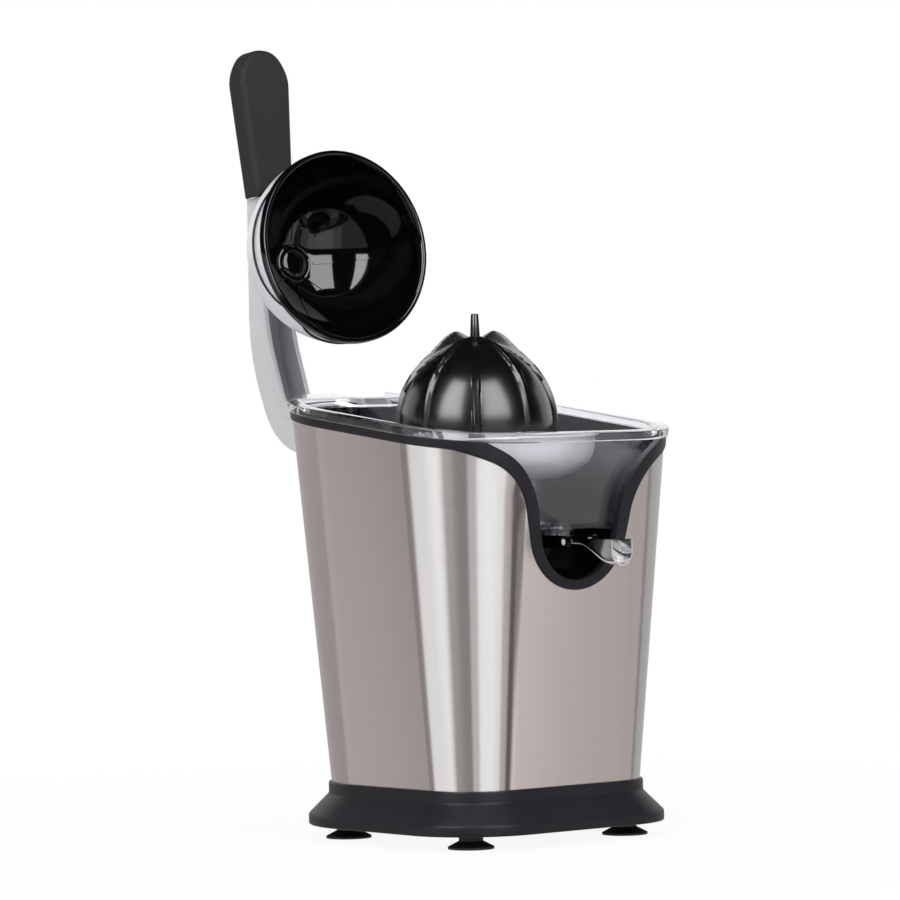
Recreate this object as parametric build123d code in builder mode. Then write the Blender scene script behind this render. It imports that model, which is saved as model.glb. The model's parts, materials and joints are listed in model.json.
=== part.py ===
from build123d import *
import math
import os

# Electric citrus juicer with a lever arm. Millimetres, +Z up, the front towards -Y.
# Everything is laid out about the upright axis of the reamer, with the counter at Z = 0.
# The finished pieces are then moved so that the origin is the middle of the footprint.

# Body: a rounded box that widens upwards, sizes at the foot of its steel wall
steel_foot = 26.0
half_width = 58.9
front_reach = 59.4
rear_reach = 68.4
front_corner = 26.8
rear_corner = 46.5
draft = 0.09
steel_wall = 1.0
block_top = 216.0

# Rim of the bowl, sloping down to the front
rim_height = 195.0
rim_slope = 0.123
rim_thick = 4.0
rim_overhang = 1.7

# Bezel between the rim and the steel, which dips round the spout in a wave
bezel_drop = 8.0
bezel_proud = 0.8
bezel_wall = 3.2
bezel_lip = 5.0
wave_back = 52.0
wave_reach = 60.0
wave_run = 60.0
steel_wave_centre = 143.5
steel_wave_radius = 28.6
steel_wave_corner = (34.2, 167.1)
steel_wave_bend = 34.0
steel_wave_climb = 0.42
window_centre = 142.0
window_radius = 22.6
window_corner = (27.7, 168.9)
window_bend = 40.0
window_climb = 0.55

# Base
skirt_foot = 6.5
skirt_edge_top = 11.2
skirt_slope_top = 20.6
skirt_flange = 10.9
skirt_collar = 1.4
skirt_wall = 3.0
cover_foot = 7.0
cover_thick = 2.5
foot_radius = 10.5
foot_neck = 5.5
foot_stem = 3.0
foot_hollow = 2.2
foot_rim = 1.8
foot_edge = 1.0
foot_shoulder = 3.6
foot_barb = 1.0
foot_barb_tall = 2.0
foot_x = 46.4
foot_front_y = -45.7
foot_rear_y = 41.8

# Clearances
loose_gap = 0.4
slide_gap = 0.05
press_gap = 0.02
part_gap = 0.1

# Inner deck, its posts and stand-offs
deck_over_gear = 18.0
deck_thick = 2.5
deck_inset = 4.0
post_radius = 5.0
post_front = (30.0, -46.0)
post_rear = (28.0, 52.0)
standoff_radius = 4.5
standoffs = [(-38.0, 12.0), (42.0, -10.0), (-8.0, -40.0), (8.0, 58.0)]
screw_radius = 1.6
screw_head = 3.2
screw_head_thick = 2.0
screw_length = 12.0

# Drive: shaft, bushes, tower round the shaft and the seal on top of it
shaft_radius = 4.0
shaft_foot = 100.1
shaft_in_reamer = 25.5
bush_wall = 2.0
bush_length = 8.0
tower_wall = 2.5
tower_below = 6.0
seal_thick = 3.0
seal_squeeze = 0.3

# Gears
tooth_module = 1.0
pressure_angle = math.radians(20)
half_turn = 180
tooth_addendum = 0.8
tooth_dedendum = 1.15
tooth_backlash = 0.2
pinion_teeth = 14
wheel_teeth = 42
small_teeth = 14
output_teeth = 56
motor_y = 33.5
plate_foot = 92.0
plate_thick = 3.0
plate_width = 100.0
plate_depth = 112.0
plate_centre_y = 8.0
plate_corner = 20.0
wheel_foot = 100.0
wheel_thick = 6.0
small_top = 123.0
output_foot = 112.0
output_thick = 8.0
output_hub = 7.5
gear_rim = 4.0
gear_web = 3.0
axle_radius = 2.5
axle_head = 4.5
axle_head_thick = 1.2

# Motor
can_radius = 22.0
can_wall = 2.0
can_foot = 38.0
can_floor = 3.0
stator_bore = 11.5
stator_foot = 50.0
stator_length = 32.0
rotor_gap = 0.5
rotor_end = 2.0
motor_shaft = 2.5
motor_shaft_foot = 36.0

# Press plunger, return spring and switch
press_travel = 2.0
plunger_radius = 6.0
plunger_flange = 8.6
plunger_flange_thick = 1.8
plunger_below = 7.0
plunger_boss_wall = 3.0
plunger_boss_foot = 84.0
tongue_width = 8.0
tongue_thick = 3.0
spring_wire = 0.6
spring_turns = 2.5
switch_length = 19.8
switch_thick = 6.4
switch_tall = 10.0
switch_back_y = -16.0
switch_button = 1.5
bracket_sheet = 2.0

# Bowl and strainer
bowl_wall = 2.2
bowl_over_deck = 1.9
bowl_rear_y = 64.0
chimney_radius = 12.0
chimney_bore = 9.5
chimney_tall = 29.6
outlet_y = -57.0
outlet_bore = 5.0
outlet_wall = 1.5
outlet_drop = 3.2
strainer_sheet = 0.8
strainer_collar = 14.0
strainer_sink = 6.0
strainer_floor_in = 19.0
strainer_floor_out = 40.0
strainer_bend = 50.5
strainer_bend_rise = 6.0
strainer_rim = 54.0
strainer_rise = 11.5
strainer_lip = 2.0
strainer_slots = 24
strainer_slot_width = 1.6
strainer_slot_in = 21.0
strainer_slot_out = 34.0

# Reamer: a ribbed dome, hollow from below, with a pin on top
reamer_seat = 14.5
reamer_shell = 3.0
reamer_hub = 8.0
reamer_hub_drop = 8.5
rib_thick = 4.0
rib_turn = -40.0
pin_rise = 41.5
pin_length = 13.0
pin_foot_radius = 2.4
pin_top_radius = 1.8
# Radius of the dome's panels and of its three sorts of rib, and the height above the reamer's foot
panel_curve = [(35.6, 0.0), (35.4, 7.5), (33.2, 17.0), (28.8, 25.5), (22.0, 33.0), (12.0, 39.5), (0.0, 42.5)]
low_rib_curve = [(37.8, 0.0), (37.3, 8.5), (35.0, 18.0), (30.0, 26.5), (22.0, 33.1)]
mid_rib_curve = [(37.8, 0.0), (37.3, 8.5), (35.0, 18.0), (29.5, 28.0), (20.0, 36.9), (8.0, 43.1), (0.0, 44.5)]
tall_rib_curve = [(37.8, 0.0), (37.3, 8.5), (35.0, 18.0), (29.5, 28.0), (20.0, 37.8), (9.3, 46.5), (3.0, 43.9)]

# Drip spout and the well behind it
well_wall = 1.8
well_back_y = -46.0
well_under_bowl = 0.6
spout_half = 6.5
spout_wall = 1.0
spout_top = 138.1
spout_root_y = -52.0
spout_bend_y = -76.0
spout_tip_y = -99.0
spout_root_depth = 2.2
spout_tip_depth = 10.6
spout_tip_flat = 4.5
spout_outer_round = 2.0
spout_inner_round = 1.0
trunnion_y = -70.0
trunnion_z = 136.9
trunnion_radius = 1.5
trunnion_reach = 9.2
lug_radius = 2.8
lug_gap = 0.5
lug_thick = 2.5

# Lever arm, its hinge and its grip, arm raised
hinge_y = 79.7
hinge_z = 195.3
hinge_pin = 3.0
knuckle_radius = 8.0
ear_radius = 5.5
arm_width = 18.0
arm_wall = 2.5
arm_web = 3.0
arm_fall = 20.0
arm_back_y = 158.2
arm_deep = 11.6
arm_top = 300.0
arm_back_bend_z = 222.6
arm_back_bend_radius = 100.0
arm_back_heel = (133.9, 168.0)
arm_back_heel_radius = 34.0
arm_front_bend_z = 238.4
arm_front_bend_radius = 90.0
arm_front_heel = (127.9, 187.0)
arm_front_heel_radius = 20.0
channel_start_y = 101.0
channel_top = 292.0
bracket_half = 15.0
bracket_front_y = 67.0
bracket_back_y = 73.0
bracket_shelf_z = 166.0
bracket_step_y = 79.0
bracket_step_z = 176.5
ear_gap = 0.6
slot_gap = 0.6
notch_front_y = 69.5
grip_lean = 6.6
grip_centre_y = 152.3
grip_thick = 12.0
grip_foot_width = 22.5
grip_wide = 30.0
grip_wide_at = 54.0
grip_length = 72.0
grip_round = 3.0
grip_notch = 3.0
grip_shoulder = 3.0
grip_shoulder_up = 11.0
tang_width = 12.0
tang_thick = 4.0
tang_length = 50.0
grip_screw_at = 30.0

# Fruit cup on the arm: it sways on an upright pin
cup_pivot = (0.0, 149.0, 265.2)
cup_reach = 63.0
cup_tilt = 8.84
cup_sway = -4.75
cup_radius = 46.4
cup_depth = 47.0
cup_lip = 3.0
cup_lip_depth = 4.0
cup_wall = 1.1
hood_gap = 0.1
hood_wall = 0.8
hood_start = 4.2
spider_wall = 0.7
arch_half = 29.0
arch_depth = 12.5
arch_count = 4
stem_radius = 5.0
cup_pin_radius = 2.0
cup_lug_radius = 5.0
cup_lug_half = 7.5
cup_rib_thick = 3.0
cup_hub_radius = 9.0
cup_hub_height = 2.0
cap_radius = 8.0
cap_proud = 2.5

# Cord inlet in the back of the steel wall
gland_z = 40.0
gland_radius = 6.0
gland_flange = 8.5
gland_bore = 3.4
gland_proud = 2.0
gland_inside = 6.0

os.makedirs("parts", exist_ok=True)
plan_centre_y = (rear_reach - front_reach) / 2


def plan(z, grow):
    """The body's rounded plan at height z, grown all round from its size at the steel's foot."""
    with BuildSketch(Plane.XY.offset(z)) as outline:
        with Locations((0, plan_centre_y)):
            Rectangle(2 * (half_width + grow), front_reach + rear_reach + 2 * grow)
        fillet(outline.vertices().group_by(Axis.Y)[0], front_corner + grow)
        fillet(outline.vertices().group_by(Axis.Y)[-1], rear_corner + grow)
    return outline.sketch


def drafted(low, high, inset):
    """Two plans that follow the drafted wall, set in or out from it."""
    return [plan(z, draft * (z - steel_foot) + inset) for z in (low, high)]


def rim_plane(drop):
    """The plane that lies the given depth under the top of the rim."""
    return Plane(origin=(0, 0, rim_height - drop), x_dir=(1, 0, 0), z_dir=(0, -rim_slope, 1))


def wave_block(centre, radius, corner, bend, climb):
    """A block in front of the body whose underside dips round the spout."""
    reach = math.hypot(corner[0], corner[1] - centre)
    touch = math.atan2(corner[1] - centre, corner[0]) - math.acos(radius / reach)
    start = (radius * math.cos(touch), centre + radius * math.sin(touch))
    end = (corner[0] + wave_run, corner[1] + climb * wave_run)
    with BuildPart() as block:
        with BuildSketch(Plane.XZ.offset(wave_back)):
            with BuildLine():
                CenterArc((0, centre), radius, 270, 90 + math.degrees(touch))
                FilletPolyline(start, corner, end, radius=bend)
                Polyline(end, (end[0], block_top), (0, block_top))
                mirror(about=Plane.YZ)
            make_face()
        extrude(amount=wave_reach)
    return block.part


def tube(outer, inner, low, high, x=0.0, y=0.0, mode=Mode.ADD):
    """An upright tube between two heights."""
    with BuildSketch(Plane.XY.offset(low)) as ring:
        with Locations((x, y)):
            Circle(outer)
            Circle(inner, mode=Mode.SUBTRACT)
    extrude(ring.sketch, amount=high - low, mode=mode)


def disc(radius, low, high, x=0.0, y=0.0, mode=Mode.ADD):
    """An upright cylinder between two heights."""
    with BuildSketch(Plane.XY.offset(low)) as round_face:
        with Locations((x, y)):
            Circle(radius)
    extrude(round_face.sketch, amount=high - low, mode=mode)


def gear_face(teeth, turn, low, x, y):
    """A gear's outline: involute teeth on its root circle, one of them at the given angle."""
    pitch = tooth_module * teeth / 2
    base = pitch * math.cos(pressure_angle)
    root = pitch - tooth_dedendum * tooth_module
    tip = pitch + tooth_addendum * tooth_module
    half = math.pi / (2 * teeth) - tooth_backlash / (2 * pitch)
    at_pitch = math.tan(pressure_angle) - pressure_angle

    def flank(radius):
        angle = math.acos(min(1.0, base / radius))
        return half + at_pitch - (math.tan(angle) - angle)

    radii = [max(base, root), pitch, tip]
    side = [(r * math.cos(flank(r)), r * math.sin(flank(r))) for r in radii]
    sunk = root - tooth_module / 2
    heel = (sunk, side[0][1])
    right = [(a, -b) for a, b in reversed(side)]
    with BuildSketch(Plane.XY.offset(low)) as gear:
        with Locations((x, y)):
            Circle(root)
            with PolarLocations(0, teeth, start_angle=turn):
                Polygon(heel, *side, *right, (sunk, -heel[1]), align=None)
    return gear.sketch


def dome_face(curve, foot):
    """Half of an upright dome's section, from a curve of radius and of height above its foot."""
    with BuildSketch(Plane.XZ) as face:
        with BuildLine():
            Spline(*[(radius, foot + height) for radius, height in curve])
            if curve[-1][0] > 0:
                Line((curve[-1][0], foot + curve[-1][1]), (0, foot + curve[-1][1]))
            Polyline((0, foot + curve[-1][1]), (0, foot), (curve[0][0], foot))
        make_face()
    return face.sketch


steel_wave = wave_block(
    steel_wave_centre, steel_wave_radius, steel_wave_corner, steel_wave_bend, steel_wave_climb
)
lip_wave = wave_block(
    steel_wave_centre,
    steel_wave_radius + bezel_lip,
    (steel_wave_corner[0] + bezel_lip, steel_wave_corner[1] - bezel_lip),
    steel_wave_bend,
    steel_wave_climb,
)
window_wave = wave_block(window_centre, window_radius, window_corner, window_bend, window_climb)
slot_half = bracket_half + slot_gap

# Heights that build on one another: gears, deck, bowl, and the well's top just under the bowl
deck_foot = output_foot + output_thick + deck_over_gear
deck_top = deck_foot + deck_thick
bowl_foot = deck_top + bowl_over_deck
well_top = bowl_foot - well_under_bowl

# Steel body wall
with BuildPart() as body_shell:
    loft(drafted(steel_foot, block_top, 0), ruled=True)
    loft(drafted(steel_foot - 1, block_top + 1, -steel_wall), ruled=True, mode=Mode.SUBTRACT)
    split(bisect_by=rim_plane(bezel_drop), keep=Keep.BOTTOM)
    add(steel_wave, mode=Mode.SUBTRACT)
    with BuildSketch(Plane.XZ.offset(-wave_back)):
        with Locations((0, (bracket_step_z + block_top) / 2 - slot_gap)):
            Rectangle(2 * slot_half, block_top - bracket_step_z)
        with Locations((0, gland_z)):
            Circle(gland_radius + part_gap)
    extrude(amount=-wave_reach, mode=Mode.SUBTRACT)

# Bezel: a proud band, with a lip that reaches down inside the steel
with BuildPart() as band_tool:
    with BuildSketch(rim_plane(bezel_drop)):
        Rectangle(4 * block_top, 4 * block_top)
    extrude(amount=block_top)
    add(steel_wave)
with BuildPart() as lip_tool:
    with BuildSketch(rim_plane(bezel_drop + bezel_lip)):
        Rectangle(4 * block_top, 4 * block_top)
    extrude(amount=block_top)
    add(lip_wave)
with BuildPart() as bezel_lip_ring:
    loft(drafted(steel_foot, block_top, -steel_wall - part_gap), ruled=True)
    add(lip_tool.part, mode=Mode.INTERSECT)
with BuildPart() as top_bezel:
    loft(drafted(steel_foot, block_top, bezel_proud), ruled=True)
    add(band_tool.part, mode=Mode.INTERSECT)
    add(bezel_lip_ring.part)
    loft(drafted(steel_foot - 1, block_top + 1, -bezel_wall), ruled=True, mode=Mode.SUBTRACT)
    split(bisect_by=rim_plane(rim_thick), keep=Keep.BOTTOM)
    add(window_wave, mode=Mode.SUBTRACT)
    with BuildSketch(Plane.XZ.offset(-wave_back)):
        with Locations((0, block_top)):
            Rectangle(2 * slot_half, block_top)
    extrude(amount=-wave_reach, mode=Mode.SUBTRACT)

# Well behind the spout, with the two lugs that the spout turns in
lug_in = spout_half + lug_gap
with BuildPart() as spout_well:
    with BuildSketch(Plane.XZ.offset(-well_back_y)):
        with Locations((0, window_centre)):
            Circle(window_radius + well_wall)
        with Locations((0, well_top)):
            Rectangle(4 * window_radius, 2 * window_radius, align=(Align.CENTER, Align.MIN), mode=Mode.SUBTRACT)
    extrude(amount=wave_reach)
    with BuildSketch(Plane.XZ.offset(-well_back_y + well_wall)):
        with Locations((0, window_centre)):
            Circle(window_radius)
    extrude(amount=wave_reach, mode=Mode.SUBTRACT)
    loft(drafted(steel_foot, block_top, -bezel_wall - part_gap), ruled=True, mode=Mode.INTERSECT)
    for side in (-1, 1):
        with BuildSketch(Plane.YZ.offset(side * (lug_in + lug_thick / 2))):
            with Locations((trunnion_y, trunnion_z)):
                Circle(lug_radius)
                Rectangle(
                    well_back_y - well_wall / 2 - trunnion_y, 2 * lug_radius, align=(Align.MIN, Align.CENTER)
                )
                Circle(trunnion_radius + slide_gap, mode=Mode.SUBTRACT)
        extrude(amount=lug_thick / 2, both=True)

# Drip spout: a trough that deepens towards its tip, with a stub axle each side
def trough(half, profile, rounding):
    """A block with a side profile and both of its long lower edges rounded."""
    with BuildPart() as block:
        with BuildSketch(Plane.YZ):
            Polygon(*profile, align=None)
        extrude(amount=half, both=True)
        long_edges = block.edges().filter_by(Axis.X, reverse=True).filter_by(Axis.Z, reverse=True)
        fillet(long_edges.sort_by(Axis.Z)[:-2], rounding)
    return block.part


tip_foot = spout_top - spout_tip_depth
trough_outside = [
    (spout_root_y, spout_top),
    (spout_root_y, spout_top - spout_root_depth),
    (spout_bend_y, spout_top - spout_root_depth),
    (spout_tip_y + spout_tip_flat, tip_foot),
    (spout_tip_y, tip_foot),
    (spout_tip_y, spout_top),
]
trough_inside = [
    (spout_root_y - spout_wall, spout_top + 1),
    (spout_root_y - spout_wall, spout_top - spout_root_depth + spout_wall),
    (spout_bend_y, spout_top - spout_root_depth + spout_wall),
    (spout_tip_y + spout_tip_flat, tip_foot + spout_wall),
    (spout_tip_y - 1, tip_foot + spout_wall),
    (spout_tip_y - 1, spout_top + 1),
]
trough_block = trough(spout_half, trough_outside, spout_outer_round)
trough_hollow = trough(spout_half - spout_wall, trough_inside, spout_inner_round)
with BuildPart() as drip_spout:
    add(trough_block)
    add(trough_hollow, mode=Mode.SUBTRACT)
    for side in (-1, 1):
        with BuildSketch(Plane.YZ.offset(side * (spout_half - spout_wall / 2))):
            with Locations((trunnion_y, trunnion_z)):
                Circle(trunnion_radius)
        extrude(amount=side * (trunnion_reach - spout_half + spout_wall / 2))

# Base skirt: a flange, a slope and a collar that carries the steel
with BuildPart() as base_skirt:
    loft([plan(skirt_foot, skirt_flange), plan(skirt_edge_top, skirt_flange)], ruled=True)
    loft([plan(skirt_edge_top, skirt_flange), plan(skirt_slope_top, skirt_collar)], ruled=True)
    loft([plan(skirt_slope_top, skirt_collar), plan(steel_foot, skirt_collar)], ruled=True)
    hollow = [
        (skirt_foot - 1, skirt_flange - skirt_wall),
        (skirt_edge_top, skirt_flange - skirt_wall),
        (skirt_slope_top, skirt_collar - skirt_wall),
        (steel_foot + 1, skirt_collar - skirt_wall),
    ]
    for lower, upper in zip(hollow, hollow[1:]):
        loft([plan(*lower), plan(*upper)], ruled=True, mode=Mode.SUBTRACT)

posts = [(side * x, y) for x, y in (post_front, post_rear) for side in (-1, 1)]
feet = [(side * foot_x, y) for y in (foot_front_y, foot_rear_y) for side in (-1, 1)]
cover_top = cover_foot + cover_thick
plate_top = plate_foot + plate_thick

# Bottom cover: holes for the feet and for the screws
with BuildPart() as bottom_cover:
    cover_grow = skirt_flange - skirt_wall - loose_gap
    loft([plan(cover_foot, cover_grow), plan(cover_top, cover_grow)], ruled=True)
    for x, y in feet:
        disc(foot_stem + part_gap, cover_foot, cover_top, x, y, Mode.SUBTRACT)
    for x, y in posts:
        disc(screw_radius + part_gap, cover_foot, cover_top, x, y, Mode.SUBTRACT)

# Suction feet: a hollow cup, a neck and a barb above the cover
foot_profile = [
    (0, foot_hollow),
    (foot_radius - foot_rim, 0),
    (foot_radius, 0),
    (foot_radius, foot_edge),
    (foot_neck, foot_shoulder),
    (foot_neck, cover_foot),
    (foot_stem, cover_foot),
    (foot_stem, cover_top),
    (foot_stem + foot_barb, cover_top),
    (foot_stem, cover_top + foot_barb_tall),
    (0, cover_top + foot_barb_tall),
]
with BuildPart() as suction_feet:
    for x, y in feet:
        with BuildSketch(Plane.XZ.offset(-y)):
            with Locations((x, 0)):
                Polygon(*foot_profile, align=None)
        revolve(axis=Axis((x, y, 0), (0, 0, 1)))

with BuildPart() as bottom_screws:
    for x, y in posts:
        disc(screw_head, cover_foot - screw_head_thick, cover_foot, x, y)
        disc(screw_radius, cover_foot, cover_top + screw_length, x, y)

# Inner deck: a floor under the bowl, the tower round the shaft, posts and stand-offs
tower_bore = shaft_radius + slide_gap + bush_wall + press_gap
chimney_top = bowl_foot + chimney_tall
tower_top = chimney_top - tower_below
with BuildPart() as inner_deck:
    loft(drafted(deck_foot, deck_top, -deck_inset), ruled=True)
    tube(tower_bore + tower_wall, tower_bore, deck_foot, tower_top)
    disc(tower_bore, deck_foot, deck_top, mode=Mode.SUBTRACT)
    for x, y in posts:
        disc(post_radius, cover_top, deck_foot, x, y)
        disc(screw_radius + press_gap, cover_top, cover_top + screw_length + 1, x, y, Mode.SUBTRACT)
    for x, y in standoffs:
        disc(standoff_radius, plate_top, deck_foot, x, y)
        disc(screw_radius + press_gap, plate_top, plate_top + screw_length + 1, x, y, Mode.SUBTRACT)
    for side in (-1, 1):
        disc(
            screw_radius + part_gap,
            deck_foot,
            deck_top,
            side * bracket_half / 2,
            (bracket_front_y + bracket_back_y) / 2,
            Mode.SUBTRACT,
        )
    with BuildSketch(Plane.XY.offset(deck_foot)):
        with Locations((0, well_back_y + loose_gap)):
            Rectangle(
                2 * (window_radius + well_wall + loose_gap), wave_reach, align=(Align.CENTER, Align.MAX)
            )
    extrude(amount=deck_thick, mode=Mode.SUBTRACT)

# Bushes of the drive shaft, one at each end of the tower
with BuildPart() as shaft_bushes:
    for low in (deck_foot, tower_top - bush_length):
        tube(shaft_radius + slide_gap + bush_wall, shaft_radius + slide_gap, low, low + bush_length)

with BuildPart() as shaft_seal:
    tube(tower_bore + tower_wall, shaft_radius + seal_squeeze, tower_top, tower_top + seal_thick)

# Clear bowl: rim, drafted wall, floor, chimney round the shaft and outlet over the spout
bowl_inset = bezel_wall + loose_gap
bowl_floor = bowl_foot + bowl_wall
outlet_foot = bowl_foot - outlet_drop
with BuildPart() as bowl_space:
    loft(drafted(bowl_floor, block_top, -bowl_inset - bowl_wall), ruled=True)
    split(bisect_by=Plane.XZ.offset(bowl_wall - bowl_rear_y), keep=Keep.TOP)
with BuildPart() as rim_slab:
    loft(drafted(bowl_foot, block_top, rim_overhang), ruled=True)
    split(bisect_by=rim_plane(0), keep=Keep.BOTTOM)
    split(bisect_by=rim_plane(rim_thick), keep=Keep.TOP)
with BuildPart() as juice_bowl:
    loft(drafted(bowl_foot, block_top, -bowl_inset), ruled=True)
    split(bisect_by=Plane.XZ.offset(-bowl_rear_y), keep=Keep.TOP)
    split(bisect_by=rim_plane(rim_thick / 2), keep=Keep.BOTTOM)
    add(rim_slab.part)
    add(bowl_space.part, mode=Mode.SUBTRACT)
    disc(chimney_radius, bowl_foot, chimney_top)
    disc(chimney_bore, bowl_foot, chimney_top, mode=Mode.SUBTRACT)
    disc(outlet_bore + outlet_wall, outlet_foot, bowl_foot, 0, outlet_y)
    disc(outlet_bore, outlet_foot, bowl_floor, 0, outlet_y, Mode.SUBTRACT)
    with BuildSketch(Plane.XY.offset(bowl_foot)):
        with Locations((0, notch_front_y)):
            Rectangle(2 * slot_half, wave_reach, align=(Align.CENTER, Align.MIN))
    extrude(amount=block_top - bowl_foot, mode=Mode.SUBTRACT)

# Strainer: a pressed dish that sits on the chimney, with radial slots in its floor
strainer_floor = chimney_top - strainer_sink
strainer_rim_z = chimney_top + strainer_rise
strainer_line = [
    (chimney_bore, chimney_top),
    (strainer_collar, chimney_top),
    (strainer_floor_in, strainer_floor),
    (strainer_floor_out, strainer_floor),
    (strainer_bend, strainer_floor + strainer_bend_rise),
    (strainer_rim, strainer_rim_z),
    (strainer_rim + strainer_lip, strainer_rim_z),
]
with BuildPart() as strainer:
    with BuildSketch(Plane.XZ):
        raised = [(r, z + strainer_sheet) for r, z in reversed(strainer_line)]
        Polygon(*strainer_line, *raised, align=None)
    revolve(axis=Axis.Z)
    with BuildSketch(Plane.XY.offset(strainer_floor - 1)):
        with PolarLocations((strainer_slot_in + strainer_slot_out) / 2, strainer_slots):
            SlotOverall(strainer_slot_out - strainer_slot_in, strainer_slot_width)
    extrude(amount=strainer_sheet + 2, mode=Mode.SUBTRACT)

# Reamer: panels, then two tall ribs, four middle ribs and two low ones, then the pin
reamer_foot = chimney_top + reamer_seat
reamer_hub_foot = reamer_foot - reamer_hub_drop
shaft_top = reamer_foot + shaft_in_reamer
pin_foot = reamer_foot + pin_rise
pin_top = pin_foot + pin_length
rib_sorts = [
    (tall_rib_curve, (90, 270)),
    (mid_rib_curve, (42, 138, 222, 318)),
    (low_rib_curve, (0, 180)),
]
rib_curves = [curve for curve, turns in rib_sorts for turn in turns]
rib_turns = [turn for curve, turns in rib_sorts for turn in turns]
with BuildPart() as reamer:
    revolve(dome_face(panel_curve, reamer_foot), axis=Axis.Z)
    for curve, turn in zip(rib_curves, rib_turns):
        blade = dome_face(curve, reamer_foot)
        extrude(blade.rotate(Axis.Z, rib_turn - 90 + turn), amount=rib_thick / 2, both=True)
    with BuildSketch(Plane.XZ):
        Polygon(
            (0, pin_foot), (pin_foot_radius, pin_foot), (pin_top_radius, pin_top), (0, pin_top), align=None
        )
    revolve(axis=Axis.Z)
    hollow_curve = [(max(0, r - reamer_shell), z) for r, z in panel_curve]
    revolve(dome_face(hollow_curve, reamer_foot - reamer_shell), axis=Axis.Z, mode=Mode.SUBTRACT)
    disc(reamer_hub, reamer_hub_foot, pin_foot - reamer_shell)
    disc(shaft_radius + press_gap, reamer_hub_foot, shaft_top, mode=Mode.SUBTRACT)

with BuildPart() as drive_shaft:
    disc(shaft_radius, shaft_foot, shaft_top)

# Places of the gears: the reduction gear stands one centre distance from each neighbour
pinion_pitch = tooth_module * pinion_teeth / 2
wheel_pitch = tooth_module * wheel_teeth / 2
small_pitch = tooth_module * small_teeth / 2
output_pitch = tooth_module * output_teeth / 2
near = output_pitch + small_pitch
far = pinion_pitch + wheel_pitch
reduction_y = (near**2 - far**2 + motor_y**2) / (2 * motor_y)
reduction_x = math.sqrt(near**2 - reduction_y**2)
to_output = math.degrees(math.atan2(-reduction_y, -reduction_x))
to_motor = math.degrees(math.atan2(motor_y - reduction_y, -reduction_x))

# Output gear on the drive shaft
with BuildPart() as output_gear:
    extrude(gear_face(output_teeth, to_output + half_turn, output_foot, 0, 0), amount=output_thick)
    web_low = output_foot + (output_thick - gear_web) / 2
    ring_outer = output_pitch - gear_rim
    for low, high in ((output_foot, web_low), (web_low + gear_web, output_foot + output_thick)):
        tube(ring_outer, output_hub, low, high, mode=Mode.SUBTRACT)
    disc(shaft_radius + press_gap, output_foot, output_foot + output_thick, mode=Mode.SUBTRACT)

# Reduction gear: a wheel driven by the motor and a small gear that drives the output
with BuildPart() as reduction_gear:
    extrude(
        gear_face(wheel_teeth, to_motor + half_turn / wheel_teeth, wheel_foot, reduction_x, reduction_y),
        amount=wheel_thick,
    )
    extrude(
        gear_face(small_teeth, to_output + half_turn / small_teeth, wheel_foot, reduction_x, reduction_y),
        amount=small_top - wheel_foot,
    )
    disc(axle_radius + slide_gap, wheel_foot, small_top, reduction_x, reduction_y, Mode.SUBTRACT)

with BuildPart() as gear_axle:
    disc(axle_radius, plate_foot, small_top + loose_gap, reduction_x, reduction_y)
    head_low = small_top + loose_gap
    disc(axle_head, head_low, head_low + axle_head_thick, reduction_x, reduction_y)
    disc(axle_head, plate_top, wheel_foot - loose_gap, reduction_x, reduction_y)

# Gear plate: carries the motor, the reduction gear's axle and the plunger
with BuildPart() as gear_plate:
    with BuildSketch(Plane.XY.offset(plate_foot)):
        with Locations((0, plate_centre_y)):
            RectangleRounded(plate_width, plate_depth, plate_corner)
    extrude(amount=plate_thick)
    disc(plunger_radius + plunger_boss_wall, plunger_boss_foot, plate_foot)
    disc(plunger_radius + slide_gap, plunger_boss_foot, plate_top, mode=Mode.SUBTRACT)
    for x, y in posts:
        disc(post_radius + loose_gap, plate_foot, plate_top, x, y, Mode.SUBTRACT)
    for x, y in standoffs:
        disc(screw_radius + part_gap, plate_foot, plate_top, x, y, Mode.SUBTRACT)
    disc(axle_radius + press_gap, plate_foot, plate_top, reduction_x, reduction_y, Mode.SUBTRACT)
    disc(motor_shaft + slide_gap, plate_foot, plate_top, 0, motor_y, Mode.SUBTRACT)

with BuildPart() as plate_screws:
    for x, y in standoffs:
        disc(screw_head, plate_foot - screw_head_thick, plate_foot, x, y)
        disc(screw_radius, plate_foot, plate_top + screw_length, x, y)

# Motor: can, stator, rotor with its shaft, and the pinion
with BuildPart() as motor_can:
    disc(can_radius, can_foot, plate_foot, 0, motor_y)
    disc(can_radius - can_wall, can_foot + can_floor, plate_foot, 0, motor_y, Mode.SUBTRACT)
    disc(motor_shaft + slide_gap, can_foot, can_foot + can_floor, 0, motor_y, Mode.SUBTRACT)

with BuildPart() as motor_stator:
    stator_outer = can_radius - can_wall - press_gap
    tube(stator_outer, stator_bore, stator_foot, stator_foot + stator_length, 0, motor_y)

with BuildPart() as motor_rotor:
    rotor_radius = stator_bore - rotor_gap
    rotor_low = stator_foot + rotor_end
    rotor_high = stator_foot + stator_length - rotor_end
    disc(rotor_radius, rotor_low, rotor_high, 0, motor_y)
    disc(motor_shaft, motor_shaft_foot, wheel_foot + wheel_thick, 0, motor_y)

with BuildPart() as motor_pinion:
    extrude(gear_face(pinion_teeth, to_motor + half_turn, wheel_foot, 0, motor_y), amount=wheel_thick)
    disc(motor_shaft + press_gap, wheel_foot, wheel_foot + wheel_thick, 0, motor_y, Mode.SUBTRACT)

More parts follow.
